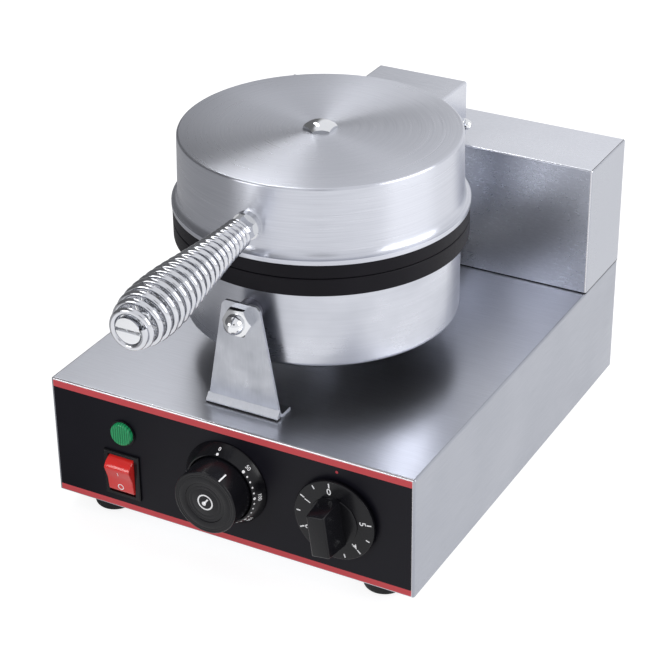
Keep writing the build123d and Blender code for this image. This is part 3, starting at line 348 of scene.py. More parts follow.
def grainSteel(name, look):
    # brushed steel with a stretch, or spun steel with a centre; patches give a box of it another tone, as
    # painted shade or a painted highlight
    material, tree, shader = newMaterial(name)
    if "stretch" in look:
        grain = useGroup(tree, straightGrain, {"Stretch": look["stretch"], "Cloud Scale": look["cloud"]})
    else:
        grain = useGroup(tree, turnedGrain, {"Center": look["center"], "Ring Scale": look["rings"],
                                             "Cloud Scale": look["cloud"]})
    mixed = mathNode(tree, "ADD", mathNode(tree, "MULTIPLY", grain["Line"], look["grainShare"]),
                     mathNode(tree, "MULTIPLY", grain["Cloud"], 1.0 - look["grainShare"]))
    color = mixColor(tree, fromNoise(tree, mixed, 0.0, 1.0), *look["tones"])
    for low, high, tone in look.get("patches", ()):
        mask = useGroup(tree, boxMask, {"Low": [-farSide if side is None else side for side in low],
                                        "High": [farSide if side is None else side for side in high]})
        color = mixColor(tree, mask["Mask"], color, tone)
    feed(tree, color, shader["Base Color"])
    smooth, rough = look["roughness"]
    feed(tree, fromNoise(tree, mixed, rough, smooth), shader["Roughness"])
    feed(tree, 1.0, shader["Metallic"])
    addBump(tree, shader, grain["Line"], look["bump"])
    if "anisotropy" in look:
        feed(tree, look["anisotropy"], shader["Anisotropic"])
    if "grooves" in look:
        normal = addNode(tree, "ShaderNodeNewGeometry", {}).outputs["Normal"]
        across = vectorNode(tree, "CROSS_PRODUCT", normal, look["grooves"])
        # a little of the upright keeps this from vanishing where the surface faces along the grooves
        feed(tree, vectorNode(tree, "ADD", across, (0.0, 0.0, 0.01)), shader["Tangent"])
    elif "center" in look:
        feed(tree, 0.25, shader["Anisotropic Rotation"])  # a quarter turn
        tangent = addNode(tree, "ShaderNodeTangent", {}, direction_type="RADIAL", axis="Z")
        feed(tree, tangent.outputs[0], shader["Tangent"])
    return material


def plainFinish(name, look, paint=None):
    # polished metal, plastic, rubber or paint with small marks; paint gives a colour of its own
    material, tree, shader = newMaterial(name)
    marks = useGroup(tree, speckle, {"Scale": look["scale"]})
    color = paint(tree, marks["Soft"]) if paint else mixColor(tree, marks["Soft"], *look["tones"])
    feed(tree, color, shader["Base Color"])
    feed(tree, fromNoise(tree, marks["Fine"], *look["roughness"]), shader["Roughness"])
    feed(tree, look.get("metal", 0.0), shader["Metallic"])
    feed(tree, look.get("gloss", 0.5), shader["Specular IOR Level"])
    # painted light: a glow brightens the surface without a lamp
    if "glow" in look:
        feed(tree, opaque(look["glow"][0]), shader["Emission Color"])
        feed(tree, look["glow"][1], shader["Emission Strength"])
    if "coat" in look:
        feed(tree, look["coat"], shader["Coat Weight"])
        feed(tree, look["coatRoughness"], shader["Coat Roughness"])
    if "bump" in look:
        addBump(tree, shader, marks["Fine"], look["bump"])
    return material


# Finishes

alongX = (1.0, 0.0, 0.0)
alongY = (0.0, 1.0, 0.0)
alongZ = (0.0, 0.0, 1.0)
# near-black painted shade for gaps, contact lines and the pan's underside
paintedShadeTone = (0.012, 0.012, 0.014)
# painted highlight along the folds of the sheets
foldHighlightTone = (0.60, 0.595, 0.62)
foldBack = panelFace + 1.6 * mm
towerFoot = deckLevel + 0.8 * mm
# A patch is a box of the piece, from a low to a high corner, with its tone of painted shade or painted
# highlight; None leaves a side open
steelLooks = {
    "deckSteel": {"tones": ((0.54, 0.555, 0.605), (0.64, 0.655, 0.71)), "roughness": (0.29, 0.39),
                  "stretch": (45.0, 1300.0, 1300.0), "cloud": 14.0, "grainShare": 0.55, "bump": 0.04,
                  "anisotropy": 0.35, "grooves": alongX},
    # painted shade: the side sheets are darker than the deck's same steel, so they look shaded
    "shadedSideSteel": {"tones": ((0.33, 0.345, 0.39), (0.39, 0.405, 0.45)), "roughness": (0.28, 0.38),
                  "stretch": (1300.0, 45.0, 1300.0), "cloud": 14.0, "grainShare": 0.5, "bump": 0.04,
                  "anisotropy": 0.5, "grooves": alongY},
    "boxSteel": {"tones": ((0.52, 0.535, 0.585), (0.66, 0.675, 0.73)), "roughness": (0.24, 0.36),
                 "stretch": (160.0, 1000.0, 1000.0), "cloud": 16.0, "grainShare": 0.6, "bump": 0.05,
                 "anisotropy": 0.4, "grooves": alongX, "patches": [
                     # painted highlight on the fold above the panel film and on the fold to its right
                     ((None, None, panelHigh.z), (None, foldBack, None), foldHighlightTone),
                     ((panelHigh.x, None, None), (None, foldBack, None), foldHighlightTone)]},
    "bracketSteel": {"tones": ((0.42, 0.435, 0.475), (0.54, 0.555, 0.60)), "roughness": (0.26, 0.38),
                     "stretch": (900.0, 900.0, 90.0), "cloud": 70.0, "grainShare": 0.3, "bump": 0.08,
                     "anisotropy": 0.3, "grooves": alongZ},
    "spunSteel": {"tones": ((0.53, 0.545, 0.60), (0.62, 0.635, 0.69)), "roughness": (0.26, 0.34),
                  "center": tuple(panCenter), "rings": 1400.0, "cloud": 9.0, "grainShare": 0.7, "bump": 0.07,
                  "anisotropy": 0.9},
    "panSteel": {"tones": ((0.50, 0.515, 0.565), (0.62, 0.635, 0.69)), "roughness": (0.24, 0.34),
                 "stretch": (22.0, 22.0, 520.0), "cloud": 30.0, "grainShare": 0.3, "bump": 0.012,
                 # painted shade: the pan's underside and lowest band are near-black, so the deck beneath
                 # mirrors them dark
                 "patches": [((None, None, None), (None, None, panLow.z + 0.6 * mm), paintedShadeTone)]},
    "towerSteel": {"tones": ((0.62, 0.635, 0.685), (0.73, 0.745, 0.80)), "roughness": (0.25, 0.34),
                   "stretch": (260.0, 1000.0, 1000.0), "cloud": 16.0, "grainShare": 0.6, "bump": 0.05,
                   "anisotropy": 0.4, "grooves": alongX, "patches": [
                       # painted shade: the box's right face is darker than its front and top
                       ((towerHigh.x - 0.4 * mm, None, towerFoot), (None, None, None), (0.42, 0.435, 0.48)),
                       # painted shade: a dark line at the foot of the box, where it meets the deck
                       ((None, None, None), (None, None, towerFoot), paintedShadeTone),
                       # painted shade: a dark line along the top right edge, in the gap where the side meets
                       # the top
                       ((towerHigh.x - 0.9 * mm, None, towerHigh.z - 0.3 * mm), (None, None, None),
                        paintedShadeTone),
                       # painted highlight on the fold at the box's front right corner
                       ((towerHigh.x - 1.3 * mm, None, towerFoot), (None, towerLow.y + 0.3 * mm, None),
                        foldHighlightTone)]},
}
plainLooks = {
    "brightSteel": {"metal": 1.0, "scale": 700.0, "tones": ((0.66, 0.67, 0.69), (0.80, 0.81, 0.83)),
                    "roughness": (0.05, 0.12), "bump": 0.02},
    "coilSteel": {"metal": 1.0, "scale": 700.0, "tones": ((0.53, 0.54, 0.575), (0.71, 0.72, 0.755)),
                  "roughness": (0.06, 0.15), "bump": 0.03},
    "boltSteel": {"metal": 1.0, "scale": 900.0, "tones": ((0.50, 0.51, 0.54), (0.66, 0.67, 0.70)),
                  "roughness": (0.16, 0.30), "bump": 0.05},
    "darkSteel": {"metal": 1.0, "scale": 700.0, "tones": ((0.13, 0.13, 0.155), (0.19, 0.19, 0.22)),
                  "roughness": (0.32, 0.44), "bump": 0.04},
    "brassMetal": {"metal": 1.0, "scale": 900.0, "tones": ((0.60, 0.42, 0.16), (0.72, 0.53, 0.24)),
                   "roughness": (0.18, 0.30), "bump": 0.04},
    "blackPlate": {"scale": 1400.0, "tones": ((0.007, 0.0065, 0.009), (0.014, 0.013, 0.017)),
                   "roughness": (0.42, 0.56), "bump": 0.22, "gloss": 0.12},
    "blackPlastic": {"scale": 1300.0, "tones": ((0.006, 0.006, 0.008), (0.010, 0.010, 0.013)),
                     "roughness": (0.18, 0.27), "bump": 0.05, "gloss": 0.24},
    # black rubber of the feet, also used for the strip of painted shadow under the bracket's toe
    "blackRubberAndShade": {"scale": 1000.0, "tones": ((0.005, 0.005, 0.006), (0.012, 0.012, 0.013)),
                    "roughness": (0.65, 0.85), "bump": 0.30, "gloss": 0.35},
    # painted light: the red glows a little, which makes it more vivid
    "redPlastic": {"scale": 600.0, "tones": ((0.80, 0.012, 0.012), (0.92, 0.028, 0.025)),
                   "roughness": (0.12, 0.20), "bump": 0.03, "coat": 0.35, "coatRoughness": 0.06,
                   "glow": ((1.0, 0.06, 0.05), 0.10)},
    "whitePlastic": {"scale": 900.0, "tones": ((0.70, 0.69, 0.66), (0.80, 0.79, 0.77)),
                     "roughness": (0.35, 0.5), "bump": 0.10},
    "fibrePad": {"scale": 500.0, "tones": ((0.62, 0.59, 0.53), (0.80, 0.78, 0.73)),
                 "roughness": (0.85, 0.98), "bump": 0.6, "gloss": 0.2},
    # the white marks glow: painted light that makes them brighter than the lamps leave them
    "markPaint": {"scale": 1500.0, "tones": ((0.86, 0.86, 0.88), (0.93, 0.93, 0.95)),
                  "roughness": (0.45, 0.6), "bump": 0.05, "glow": ((1.0, 1.0, 1.0), 0.22)},
    "redPaint": {"scale": 1500.0, "tones": ((0.50, 0.03, 0.05), (0.60, 0.05, 0.07)),
                 "roughness": (0.4, 0.5), "bump": 0.05},
}
materials = {name: grainSteel(name, look) for name, look in steelLooks.items()}
materials.update({name: plainFinish(name, look) for name, look in plainLooks.items()})

panelLook = {"scale": 900.0, "roughness": (0.32, 0.42), "gloss": 0.14, "bump": 0.06, "stripe": 4.2,
             "reds": ((0.82, 0.11, 0.125), (0.90, 0.135, 0.15)),
             "blacks": ((0.006, 0.0055, 0.0095), (0.0095, 0.009, 0.0145))}


def panelPaint(tree, soft):
    # black film with a red stripe along its top and bottom
    reach = (panelHigh.z - panelLow.z) / 2 - panelLook["stripe"] * mm
    height = splitNode(tree, objectPlace(tree))[2]
    away = mathNode(tree, "SUBTRACT", height, (panelLow.z + panelHigh.z) / 2)
    stripe = mathNode(tree, "GREATER_THAN", mathNode(tree, "ABSOLUTE", away), reach)
    black = mixColor(tree, soft, *panelLook["blacks"])
    return mixColor(tree, stripe, black, mixColor(tree, soft, *panelLook["reds"]))


materials["panelFilm"] = plainFinish("panelFilm", panelLook, panelPaint)

lensShape = {"radius": 7.9, "height": 3.0, "edge": 1.5, "ribReach": 6.4, "ribFade": 0.4, "ribPitch": 1.7,
             "ribDepth": 0.55, "rings": 30, "segments": 120}
# painted light: the lens glows faintly, and its groove colour is painted shade between the ribs
lensLook = {"scale": 800.0, "roughness": (0.10, 0.18), "gloss": 0.3, "glow": ((0.02, 0.8, 0.3), 0.03),
            "groove": (0.002, 0.10, 0.035), "rib": (0.03, 0.46, 0.17), "ribPower": 0.8}


def lensPaint(tree, soft):
    # painted shade: darker in the grooves between the upright ribs
    side = splitNode(tree, objectPlace(tree))[0]
    across = mathNode(tree, "SUBTRACT", side, centerOf("indicator_lens").x)
    turn = mathNode(tree, "MULTIPLY", across, math.pi / (lensShape["ribPitch"] * mm))
    wave = mathNode(tree, "ABSOLUTE", mathNode(tree, "SINE", turn))
    rib = mathNode(tree, "POWER", wave, lensLook["ribPower"])
    return mixColor(tree, rib, lensLook["groove"], lensLook["rib"])


materials["greenLensShadeAndGlow"] = plainFinish("greenLensShadeAndGlow", lensLook, lensPaint)

footNames = ["foot_front_left", "foot_front_right", "foot_back_left", "foot_back_right"]
finishOf = {
    "deckSteel": ["deck_sheet"],
    "shadedSideSteel": ["side_left", "side_right", "bottom_plate"],
    "boxSteel": ["front_sheet", "back_sheet", "hinge_cover"],
    "towerSteel": ["rear_box", "rear_cover"],
    "bracketSteel": ["front_bracket", "hinge_bracket"],
    "spunSteel": ["lid_shell"],
    "panSteel": ["lower_pan"],
    "brightSteel": ["bracket_cap_nut", "hinge_cap_nuts", "handle_rod", "handle_nuts", "handle_washer",
                    "lid_center_nut"],
    "boltSteel": ["cover_screws", "foot_screws", "foot_nuts", "bracket_screws", "bracket_bolt",
                  "hinge_bracket_bolts", "hinge_bracket_nuts", "hinge_pin", "lid_center_stud",
                  "lower_center_bolt", "lower_heater", "lid_heater", "control_screws", "thermostat_shaft",
                  "timer_shaft"],
    "coilSteel": ["handle_coil"],
    "darkSteel": ["bracket_spacer"],
    "brassMetal": ["switch_terminals"],
    "blackPlate": ["lower_plate", "lid_plate"],
    "panelFilm": ["front_overlay"],
    "blackPlastic": ["switch_body", "indicator_body", "indicator_nut", "thermostat_body", "timer_body",
                     "thermostat_bezel", "thermostat_knob", "timer_knob", "cable_gland", "gland_nut"],
    "redPlastic": ["rocker"],
    "greenLensShadeAndGlow": ["indicator_lens"],
    "blackRubberAndShade": footNames,
    "fibrePad": ["lower_insulation", "lid_insulation"],
    "whitePlastic": ["terminal_block", "hinge_washers"],
}
for materialName, nodeNames in finishOf.items():
    for nodeName in nodeNames:
        nodes[nodeName].data.materials.clear()
        nodes[nodeName].data.materials.append(materials[materialName])
print("finishes set on", sum(len(names) for names in finishOf.values()), "nodes")

lidShape = {"topRadius": 90.0, "skirtRadius": 91.0, "rimHeight": 3.2, "flareHeight": 5.0, "edgeRadius": 1.6,
            "bead": 0.5, "sheet": 1.5, "topRings": (0.3, 0.7), "wallSteps": 6, "flareSteps": 8,
            "segments": 256}


def makeLidShell():
    shape = lidShape
    rim = (lidHigh.x - lidLow.x) / 2 / mm
    top = (lidHigh.z - lidLow.z) / mm
    topRadius = shape["topRadius"]
    skirt = shape["skirtRadius"]
    edge = shape["edgeRadius"]
    bead = shape["bead"]
    rimTop = shape["rimHeight"]
    flareTop = rimTop + shape["flareHeight"]
    profile = [(0.0, top)] + [(topRadius * share, top) for share in shape["topRings"]]
    profile += arcPoints((topRadius - edge, top - edge), edge, 90, 0, 8)
    for step in range(1, shape["wallSteps"] + 1):
        share = step / shape["wallSteps"]
        out = topRadius + (skirt - topRadius) * share
        profile.append((out, top - edge + (flareTop - top + edge) * share))
    for step in range(1, shape["flareSteps"] + 1):
        turn = step / shape["flareSteps"] * math.pi / 2
        out = skirt + (rim - skirt) * (1 - math.cos(turn))
        profile.append((out, flareTop + (rimTop - flareTop) * math.sin(turn)))
    profile += arcPoints((rim - bead, bead), bead, 0, -90, 4)
    profile += [(skirt - shape["sheet"], 0.0), (topRadius - shape["sheet"], top - shape["sheet"]),
                (0.0, top - shape["sheet"])]
    bm = bmesh.new()
    addLathe(bm, profile, Matrix.Translation((panCenter.x, panCenter.y, lidLow.z)), shape["segments"])
    finishPiece(bm, "lid_dome", "lid", "spunSteel", 28.0, ["lid_shell"])


makeLidShell()
print("lid shell made")

# The spring handle; each of radii is (share of the length, radius, power of the curve that leads to it)
handleShape = {"root": 91.0, "height": 122.7, "droop": 3.6, "washer": 2.5, "nut": 6.5, "nutWidth": 14.0,
               "nutChamfer": 0.10, "rodRadius": 4.0, "wire": 2.0, "wireSides": 16, "turns": 21,
               "firstPitch": 0.65, "evenTurn": 10, "flatTurn": 0.5, "startAngle": 200.0, "length": 122.4,
               "radii": ((0.0, 9.4, 0.0), (0.42, 14.2, 1.3), (0.78, 17.9, 0.0), (1.0, 12.6, 2.2)),
               "stepsPerTurn": 40, "innerNutBack": 2.5}


def handlePoint(distance, radius=0.0, angle=0.0):
    # a point by its distance along the handle, and the handle's direction
    drop = math.radians(handleShape["droop"])
    along = Vector((0, -math.cos(drop), -math.sin(drop)))
    start = Vector((0, panCenter.y - handleShape["root"] * mm, deckLevel + handleShape["height"] * mm))
    upward = Vector((0, -math.sin(drop), math.cos(drop)))
    across = Vector((math.cos(angle), 0, 0)) + upward * math.sin(angle)
    return start + (along * distance + across * radius) * mm, along


def coilRadius(share):
    # a sine curve between the middle stations, and powers at both ends
    stations = handleShape["radii"]
    for index, (low, high) in enumerate(zip(stations, stations[1:])):
        if share <= high[0] or index == len(stations) - 2:
            part = min(max((share - low[0]) / (high[0] - low[0]), 0.0), 1.0)
            curve = math.sin(part * math.pi / 2) if index == 1 else part ** high[2]
            return low[1] + (high[1] - low[1]) * curve


def coilTravel(turn):
    # distance along the coil to a turn, in pitches of its free end
    shape = handleShape
    growing = min(max(turn, 0.0), shape["evenTurn"])
    growth = growing ** 2 / (2 * shape["evenTurn"])
    return shape["firstPitch"] * growing + (1 - shape["firstPitch"]) * growth + max(turn, 0.0) - growing


def makeHandle():
    shape = handleShape
    wire = shape["wire"]
    turns = shape["turns"] - 1
    span = shape["length"] - 2 * wire
    start = shape["washer"] + shape["nut"] + wire
    points = []
    for step in range(int((turns + 2 * shape["flatTurn"]) * shape["stepsPerTurn"]) + 1):
        turn = step / shape["stepsPerTurn"] - shape["flatTurn"]
        spread = min(coilTravel(turn) / coilTravel(turns), 1.0)
        angle = 2 * math.pi * turn + math.radians(shape["startAngle"])
        points.append(handlePoint(start + spread * span, coilRadius(spread) - wire, angle)[0])
    bm = bmesh.new()
    addTube(bm, points, wire, shape["wireSides"])
    finishPiece(bm, "handle_spring", "lid", "coilSteel", 60.0, ["handle_coil"])
    bm = bmesh.new()
    for distance, direction in ((shape["washer"], 1), (-shape["innerNutBack"], -1)):
        place, along = handlePoint(distance)
        addNut(bm, shape["nutWidth"], shape["nut"], axisFrame(place, along * direction), shape["nutChamfer"],
               shape["rodRadius"])
    finishPiece(bm, "handle_lock_nuts", "lid", "brightSteel", 25.0, ["handle_nuts"])


makeHandle()
print("handle made")

# The bracket's and the hinge's cap nuts; the neck under each dome is a share of its radius
capNutStyle = {"chamfer": 0.08, "neck": 0.25, "sunk": 0.2, "domeSteps": 14, "segments": 40}
bracketNutShape = {"width": 17.6, "height": 6.4, "dome": 6.5, "turned": 30.0}
hingeNutShape = {"width": 8.0, "height": 4.0, "dome": 3.6, "turned": 0.0}
crownNutShape = {"width": 18.8, "height": 5.0, "crown": 16.5, "directions": 72, "rings": 8}


def addCapNut(bm, place, along, shape):
    style = capNutStyle
    placement = axisFrame(place, along)
    addNut(bm, shape["width"], shape["height"], placement, style["chamfer"], 0.0, shape["turned"])
    dome = shape["dome"]
    domeLevel = shape["height"] + style["neck"] * dome
    profile = [(dome, shape["height"] - style["sunk"])]
    profile += arcPoints((0.0, domeLevel), dome, 0, 90, style["domeSteps"])
    addLathe(bm, profile, placement, style["segments"])


def addCrownNut(bm, placement):
    # low hexagon with a domed top
    shape = crownNutShape
    count = shape["directions"]

    def outline(share):
        points = []
        for step in range(count):
            local = math.radians(360 * step / count % 60 - 30)
            radius = share * shape["width"] / 2 / math.cos(local)
            angle = math.radians(360 * step / count - 30)
            level = shape["height"] - shape["crown"] + math.sqrt(shape["crown"] ** 2 - radius ** 2)
            points.append((radius * math.cos(angle), radius * math.sin(angle), level))
        return points

    outlines = [[(0.0, 0.0, shape["height"])]]
    outlines += [outline((index + 1) / shape["rings"]) for index in range(shape["rings"])]
    outlines.append([(x, y, 0.0) for x, y, _ in outlines[-1]])
    rings = [addRing(bm, placement, points) for points in outlines]
    joinRings(bm, rings)
    bm.faces.new(rings[-1])


def makeCapNuts():
    center = centerOf("bracket_cap_nut")
    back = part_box("bracket_cap_nut")[1].y
    bm = bmesh.new()
    addCapNut(bm, (center.x, back, center.z), (0, -1, 0), bracketNutShape)
    finishPiece(bm, "bracket_dome_nut", "base", "brightSteel", 30.0, ["bracket_cap_nut"])
    center = centerOf("hinge_cap_nuts")
    coverLow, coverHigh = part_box("hinge_cover")
    bm = bmesh.new()
    for face, side in ((coverLow.x, -1), (coverHigh.x, 1)):
        addCapNut(bm, (face, center.y, center.z), (side, 0, 0), hingeNutShape)
    finishPiece(bm, "hinge_dome_nuts", "lid", "brightSteel", 30.0, ["hinge_cap_nuts"])
    center = centerOf("lid_center_nut")
    bm = bmesh.new()
    addCrownNut(bm, axisFrame((center.x, center.y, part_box("lid_center_nut")[0].z), alongZ))
    finishPiece(bm, "lid_crown_nut", "lid", "brightSteel", 25.0, ["lid_center_nut"])


makeCapNuts()
print("nuts made")

footShape = {"topRadius": 15.4, "bottomRadius": 13.4, "edge": 3.0, "edgeEnd": -10, "recess": 5.9,
             "topEdge": 0.3, "segments": 72}


def makeFeet():
    shape = footShape
    edge = shape["edge"]
    for name in footNames:
        low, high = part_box(name)
        center = centerOf(name)
        height = (high.z - low.z) / mm
        profile = [(shape["recess"], 0.0)]
        profile += arcPoints((shape["bottomRadius"] - edge, edge), edge, -90, shape["edgeEnd"], 6)
        profile += [(shape["topRadius"], height - shape["topEdge"]),
                    (shape["topRadius"] - shape["topEdge"], height), (shape["recess"], height)]
        bm = bmesh.new()
        addLathe(bm, profile, Matrix.Translation((center.x, center.y, low.z)), shape["segments"], True)
        pieceName = name.replace("foot", "rubber")
        finishPiece(bm, pieceName, "base", "blackRubberAndShade", 30.0, [name])


makeFeet()
print("feet made")

# The front bracket's turned-out toe, over a black strip of painted shadow in the gap beneath it
toeShape = {"rise": 6.4, "reach": 3.1, "gap": 1.1, "lip": 0.7, "overlap": 0.3, "inset": 0.1,
            "shadeStripOverlap": 0.5, "shadeStripInset": 0.2, "slack": 0.02}


def makeToe():
    shape = toeShape
    half = bracketHigh.x / mm - shape["inset"]
    placement = axisFrame((0, bracketLow.y, deckLevel), alongX)
    gap = shape["gap"]
    reach = shape["reach"]
    back = shape["overlap"]
    outline = [(back, gap), (back, shape["rise"]), (-reach, gap + shape["lip"]), (-reach, gap)]
    bm = bmesh.new()
    addPrism(bm, outline, -half, half, placement)
    finishPiece(bm, "bracket_toe", "base", "bracketSteel", 25.0)
    # painted shadow: a black strip fills the gap under the toe
    back = shape["shadeStripOverlap"]
    front = shape["shadeStripInset"] - reach
    low = shape["slack"]
    high = gap - shape["slack"]
    bm = bmesh.new()
    addPrism(bm, [(back, low), (back, high), (front, high), (front, low)], -half, half, placement)
    finishPiece(bm, "bracket_gap_shade", "base", "blackRubberAndShade", 25.0)


makeToe()
print("bracket toe made")

# Rounded edges of plain nodes, whose facets are first welded and flattened to leave only true edges
edgeSoftening = {"front_bracket": 0.35, "switch_body": 0.4, "hinge_bracket": 0.3, "cable_gland": 0.6,
                 "terminal_block": 0.5}
edgeStyle = {"weld": 0.005, "flatAngle": 0.5, "edgeAngle": 40, "segments": 3}


def softenEdges():
    for name, width in edgeSoftening.items():
        modifiers = nodes[name].modifiers
        modifiers.new("weld", "WELD").merge_threshold = edgeStyle["weld"] * mm
        flatten = modifiers.new("flatten", "DECIMATE")
        flatten.decimate_type = "DISSOLVE"
        flatten.angle_limit = math.radians(edgeStyle["flatAngle"])
        soften = modifiers.new("soften", "BEVEL")
        soften.width = width * mm
        soften.segments = edgeStyle["segments"]
        soften.limit_method = "ANGLE"
        soften.angle_limit = math.radians(edgeStyle["edgeAngle"])
        soften.harden_normals = True


softenEdges()
print("edges softened")


# Marks: flat plates that a place function bends onto a surface, point by point

def dialPoint(center, angle, radius, depth):
    # in front of the panel; the angle is in degrees, clockwise from straight up
    turn = math.radians(angle)
    return Vector((center.x + radius * mm * math.sin(turn), panelFace - depth * mm,
                   center.z + radius * mm * math.cos(turn)))


def flatPlace(center, depth, shiftUp, lean):
    # for a face parallel to the panel; a mark is shifted up, and then turned clockwise about the centre
    turn = math.radians(lean)

    def place(point):
        up = shiftUp + point.y
        across = point.x * math.cos(turn) + up * math.sin(turn)
        rise = up * math.cos(turn) - point.x * math.sin(turn)
        return Vector((center.x + across * mm, panelFace - (depth + point.z) * mm, center.z + rise * mm))
    return place


# A digit's share of the font's size, and the weight added to its strokes as a share of its height
numberStyle = {"digitShare": 0.7, "weight": 0.012, "resolution": 4, "thickness": 0.08}


def numberMesh(text, height):
    curve = bpy.data.curves.new("number", "FONT")
    curve.body = text
    curve.size = height * mm / numberStyle["digitShare"]
    curve.align_x = "CENTER"
    curve.align_y = "CENTER"
    curve.extrude = numberStyle["thickness"] * mm / 2
    curve.offset = height * mm * numberStyle["weight"]
    curve.resolution_u = numberStyle["resolution"]
    holder = bpy.data.objects.new("number", curve)
    bpy.context.scene.collection.objects.link(holder)
    made = bpy.data.meshes.new_from_object(holder.evaluated_get(bpy.context.evaluated_depsgraph_get()))
    points = [vertex.co / mm for vertex in made.vertices]
    faces = [list(face.vertices) for face in made.polygons]
    bpy.data.objects.remove(holder)
    bpy.data.curves.remove(curve)
    bpy.data.meshes.remove(made)
    return points, faces


def addNumber(bm, number, height, place):
    points, faces = numberMesh(str(number), height)
    made = [bm.verts.new(place(point)) for point in points]
    for face in faces:
        if bm.faces.get([made[index] for index in face]) is None:
            bm.faces.new([made[index] for index in face])


def addMark(bm, outlines, place, thickness=numberStyle["thickness"]):
    for outline in outlines:
        rings = [[bm.verts.new(place(Vector((x, y, level)))) for x, y in outline]
                 for level in (-thickness / 2, thickness / 2)]
        bm.faces.new(rings[0])
        bm.faces.new(rings[1])
        joinRings(bm, rings)


def flatCircle(radius, steps):
    return [(x, y) for x, y, _ in circle(radius, 0.0, steps)]


def dot(radius, steps=16):
    return [flatCircle(radius, steps)]


def bar(width, length):
    return [[(x * width / 2, y * length / 2) for x, y in squareCorners]]


def ring(radius, width, steps=40):
    # round line as a row of short plates that share no faces
    inner = flatCircle(radius - width / 2, steps)
    outer = flatCircle(radius + width / 2, steps)
    return [[inner[step], outer[step], outer[(step + 1) % steps], inner[(step + 1) % steps]]
            for step in range(steps)]


# The thermostat's fixed cone: its scale starts at startAngle and runs clockwise
coneShape = {"rimRadius": 29.0, "rimWall": 1.3, "rimStep": 0.1, "seat": 3.0, "innerRadius": 22.9,
             "innerDepth": 0.6, "topRadius": 24.3, "height": 9.0, "soft": 0.35, "segments": 160}
coneScale = {"first": 50, "last": 300, "every": 10, "numberEvery": 50, "startAngle": 45.0,
             "degreesPerUnit": 0.9, "zeroAngle": -2.0, "numberHeight": 2.5, "numberAcross": 4.6,
             "dotAcross": 0.9, "largeDot": 0.95, "smallDot": 0.6}


def conePlace(angle, across):
    # local x runs clockwise round the cone, local y down its slope
    shape = coneShape
    run = shape["rimRadius"] - shape["topRadius"]
    fall = shape["height"] - shape["rimWall"]
    slope = math.hypot(run, fall)

    def place(point):
        distance = across + point.y
        radius = shape["topRadius"] + (distance * run + point.z * fall) / slope
        depth = shape["height"] + (point.z * run - distance * fall) / slope
        return dialPoint(thermostatCenter, angle + math.degrees(point.x / radius), radius, depth)
    return place


def makeCone():
    shape = coneShape
    rim = shape["rimRadius"]
    top = shape["topRadius"]
    height = shape["height"]
    soft = shape["soft"]
    inner = shape["innerRadius"]
    profile = [(rim - shape["seat"], 0.0), (rim, 0.0), (rim, shape["rimWall"] - soft),
               (rim - shape["rimStep"], shape["rimWall"]), (top, height - soft), (top - soft, height),
               (inner + soft, height), (inner, height - soft), (inner, shape["innerDepth"])]
    bm = bmesh.new()
    addLathe(bm, profile, panelAxis(thermostatCenter), shape["segments"], True)
    finishPiece(bm, "thermostat_cone", "base", "blackPlastic", 30.0, ["thermostat_bezel"])


def makeConeMarks():
    scale = coneScale
    bm = bmesh.new()
    for value in range(scale["first"], scale["last"] + 1, scale["every"]):
        angle = scale["startAngle"] + (value - scale["first"]) * scale["degreesPerUnit"]
        numbered = value % scale["numberEvery"] == 0
        addMark(bm, dot(scale["largeDot" if numbered else "smallDot"]), conePlace(angle, scale["dotAcross"]))
        if numbered:
            addNumber(bm, value, scale["numberHeight"], conePlace(angle, scale["numberAcross"]))
    addNumber(bm, 0, scale["numberHeight"], conePlace(scale["zeroAngle"], scale["numberAcross"]))
    addMark(bm, dot(scale["largeDot"]), conePlace(scale["zeroAngle"], scale["dotAcross"]))
    finishPiece(bm, "thermostat_marks", "base", "markPaint", 30.0)


# The thermostat's knob, with turned grooves on its face, a pointer line on its side and a plain sign
knobShape = {"base": 22.3, "top": 21.7, "length": 26.5, "start": 2.4, "edge": 0.9, "dish": 14.0,
             "dishDepth": 0.7, "lip": 0.5, "lipDepth": 0.15, "lipSlope": 0.35, "grooves": (19.6, 18.4),
             "grooveDepth": 0.12, "dishGrooves": (11.6, 9.4), "dishGrooveDepth": 0.1, "grooveHalf": 0.3,
             "segments": 160}
knobMarks = {"lineWidth": 1.0, "lineLength": 8.2, "lineAngle": 30.0, "lineInset": 0.315, "lineDepth": 0.12,
             "ringRadius": 5.0, "ringWidth": 0.95, "lean": 38.0, "bulb": 1.45, "bulbDown": 1.5,
             "stemWidth": 1.15, "stemLength": 4.4, "stemUp": 1.0}


def grooveAt(radius, level, depth):
    half = knobShape["grooveHalf"]
    return [(radius + half, level), (radius, level - depth), (radius - half, level)]


def makeKnob():
    shape = knobShape
    length = shape["length"]
    edge = shape["edge"]
    dish = shape["dish"]
    sunk = length - shape["dishDepth"]
    profile = [(0.0, shape["start"]), (shape["base"], shape["start"])]
    profile += arcPoints((shape["top"] - edge, length - edge), edge, 0, 90, 8)
    for radius in shape["grooves"]:
        profile += grooveAt(radius, length, shape["grooveDepth"])
    profile += [(dish + shape["lip"], length), (dish, length - shape["lipDepth"]),
                (dish - shape["lipSlope"], sunk)]
    for radius in shape["dishGrooves"]:
        profile += grooveAt(radius, sunk, shape["dishGrooveDepth"])
    profile.append((0.0, sunk))
    bm = bmesh.new()
    addLathe(bm, profile, panelAxis(thermostatCenter), shape["segments"])
    finishPiece(bm, "thermostat_handle", "thermostat_dial", "blackPlastic", 30.0,
                ["thermostat_knob"])


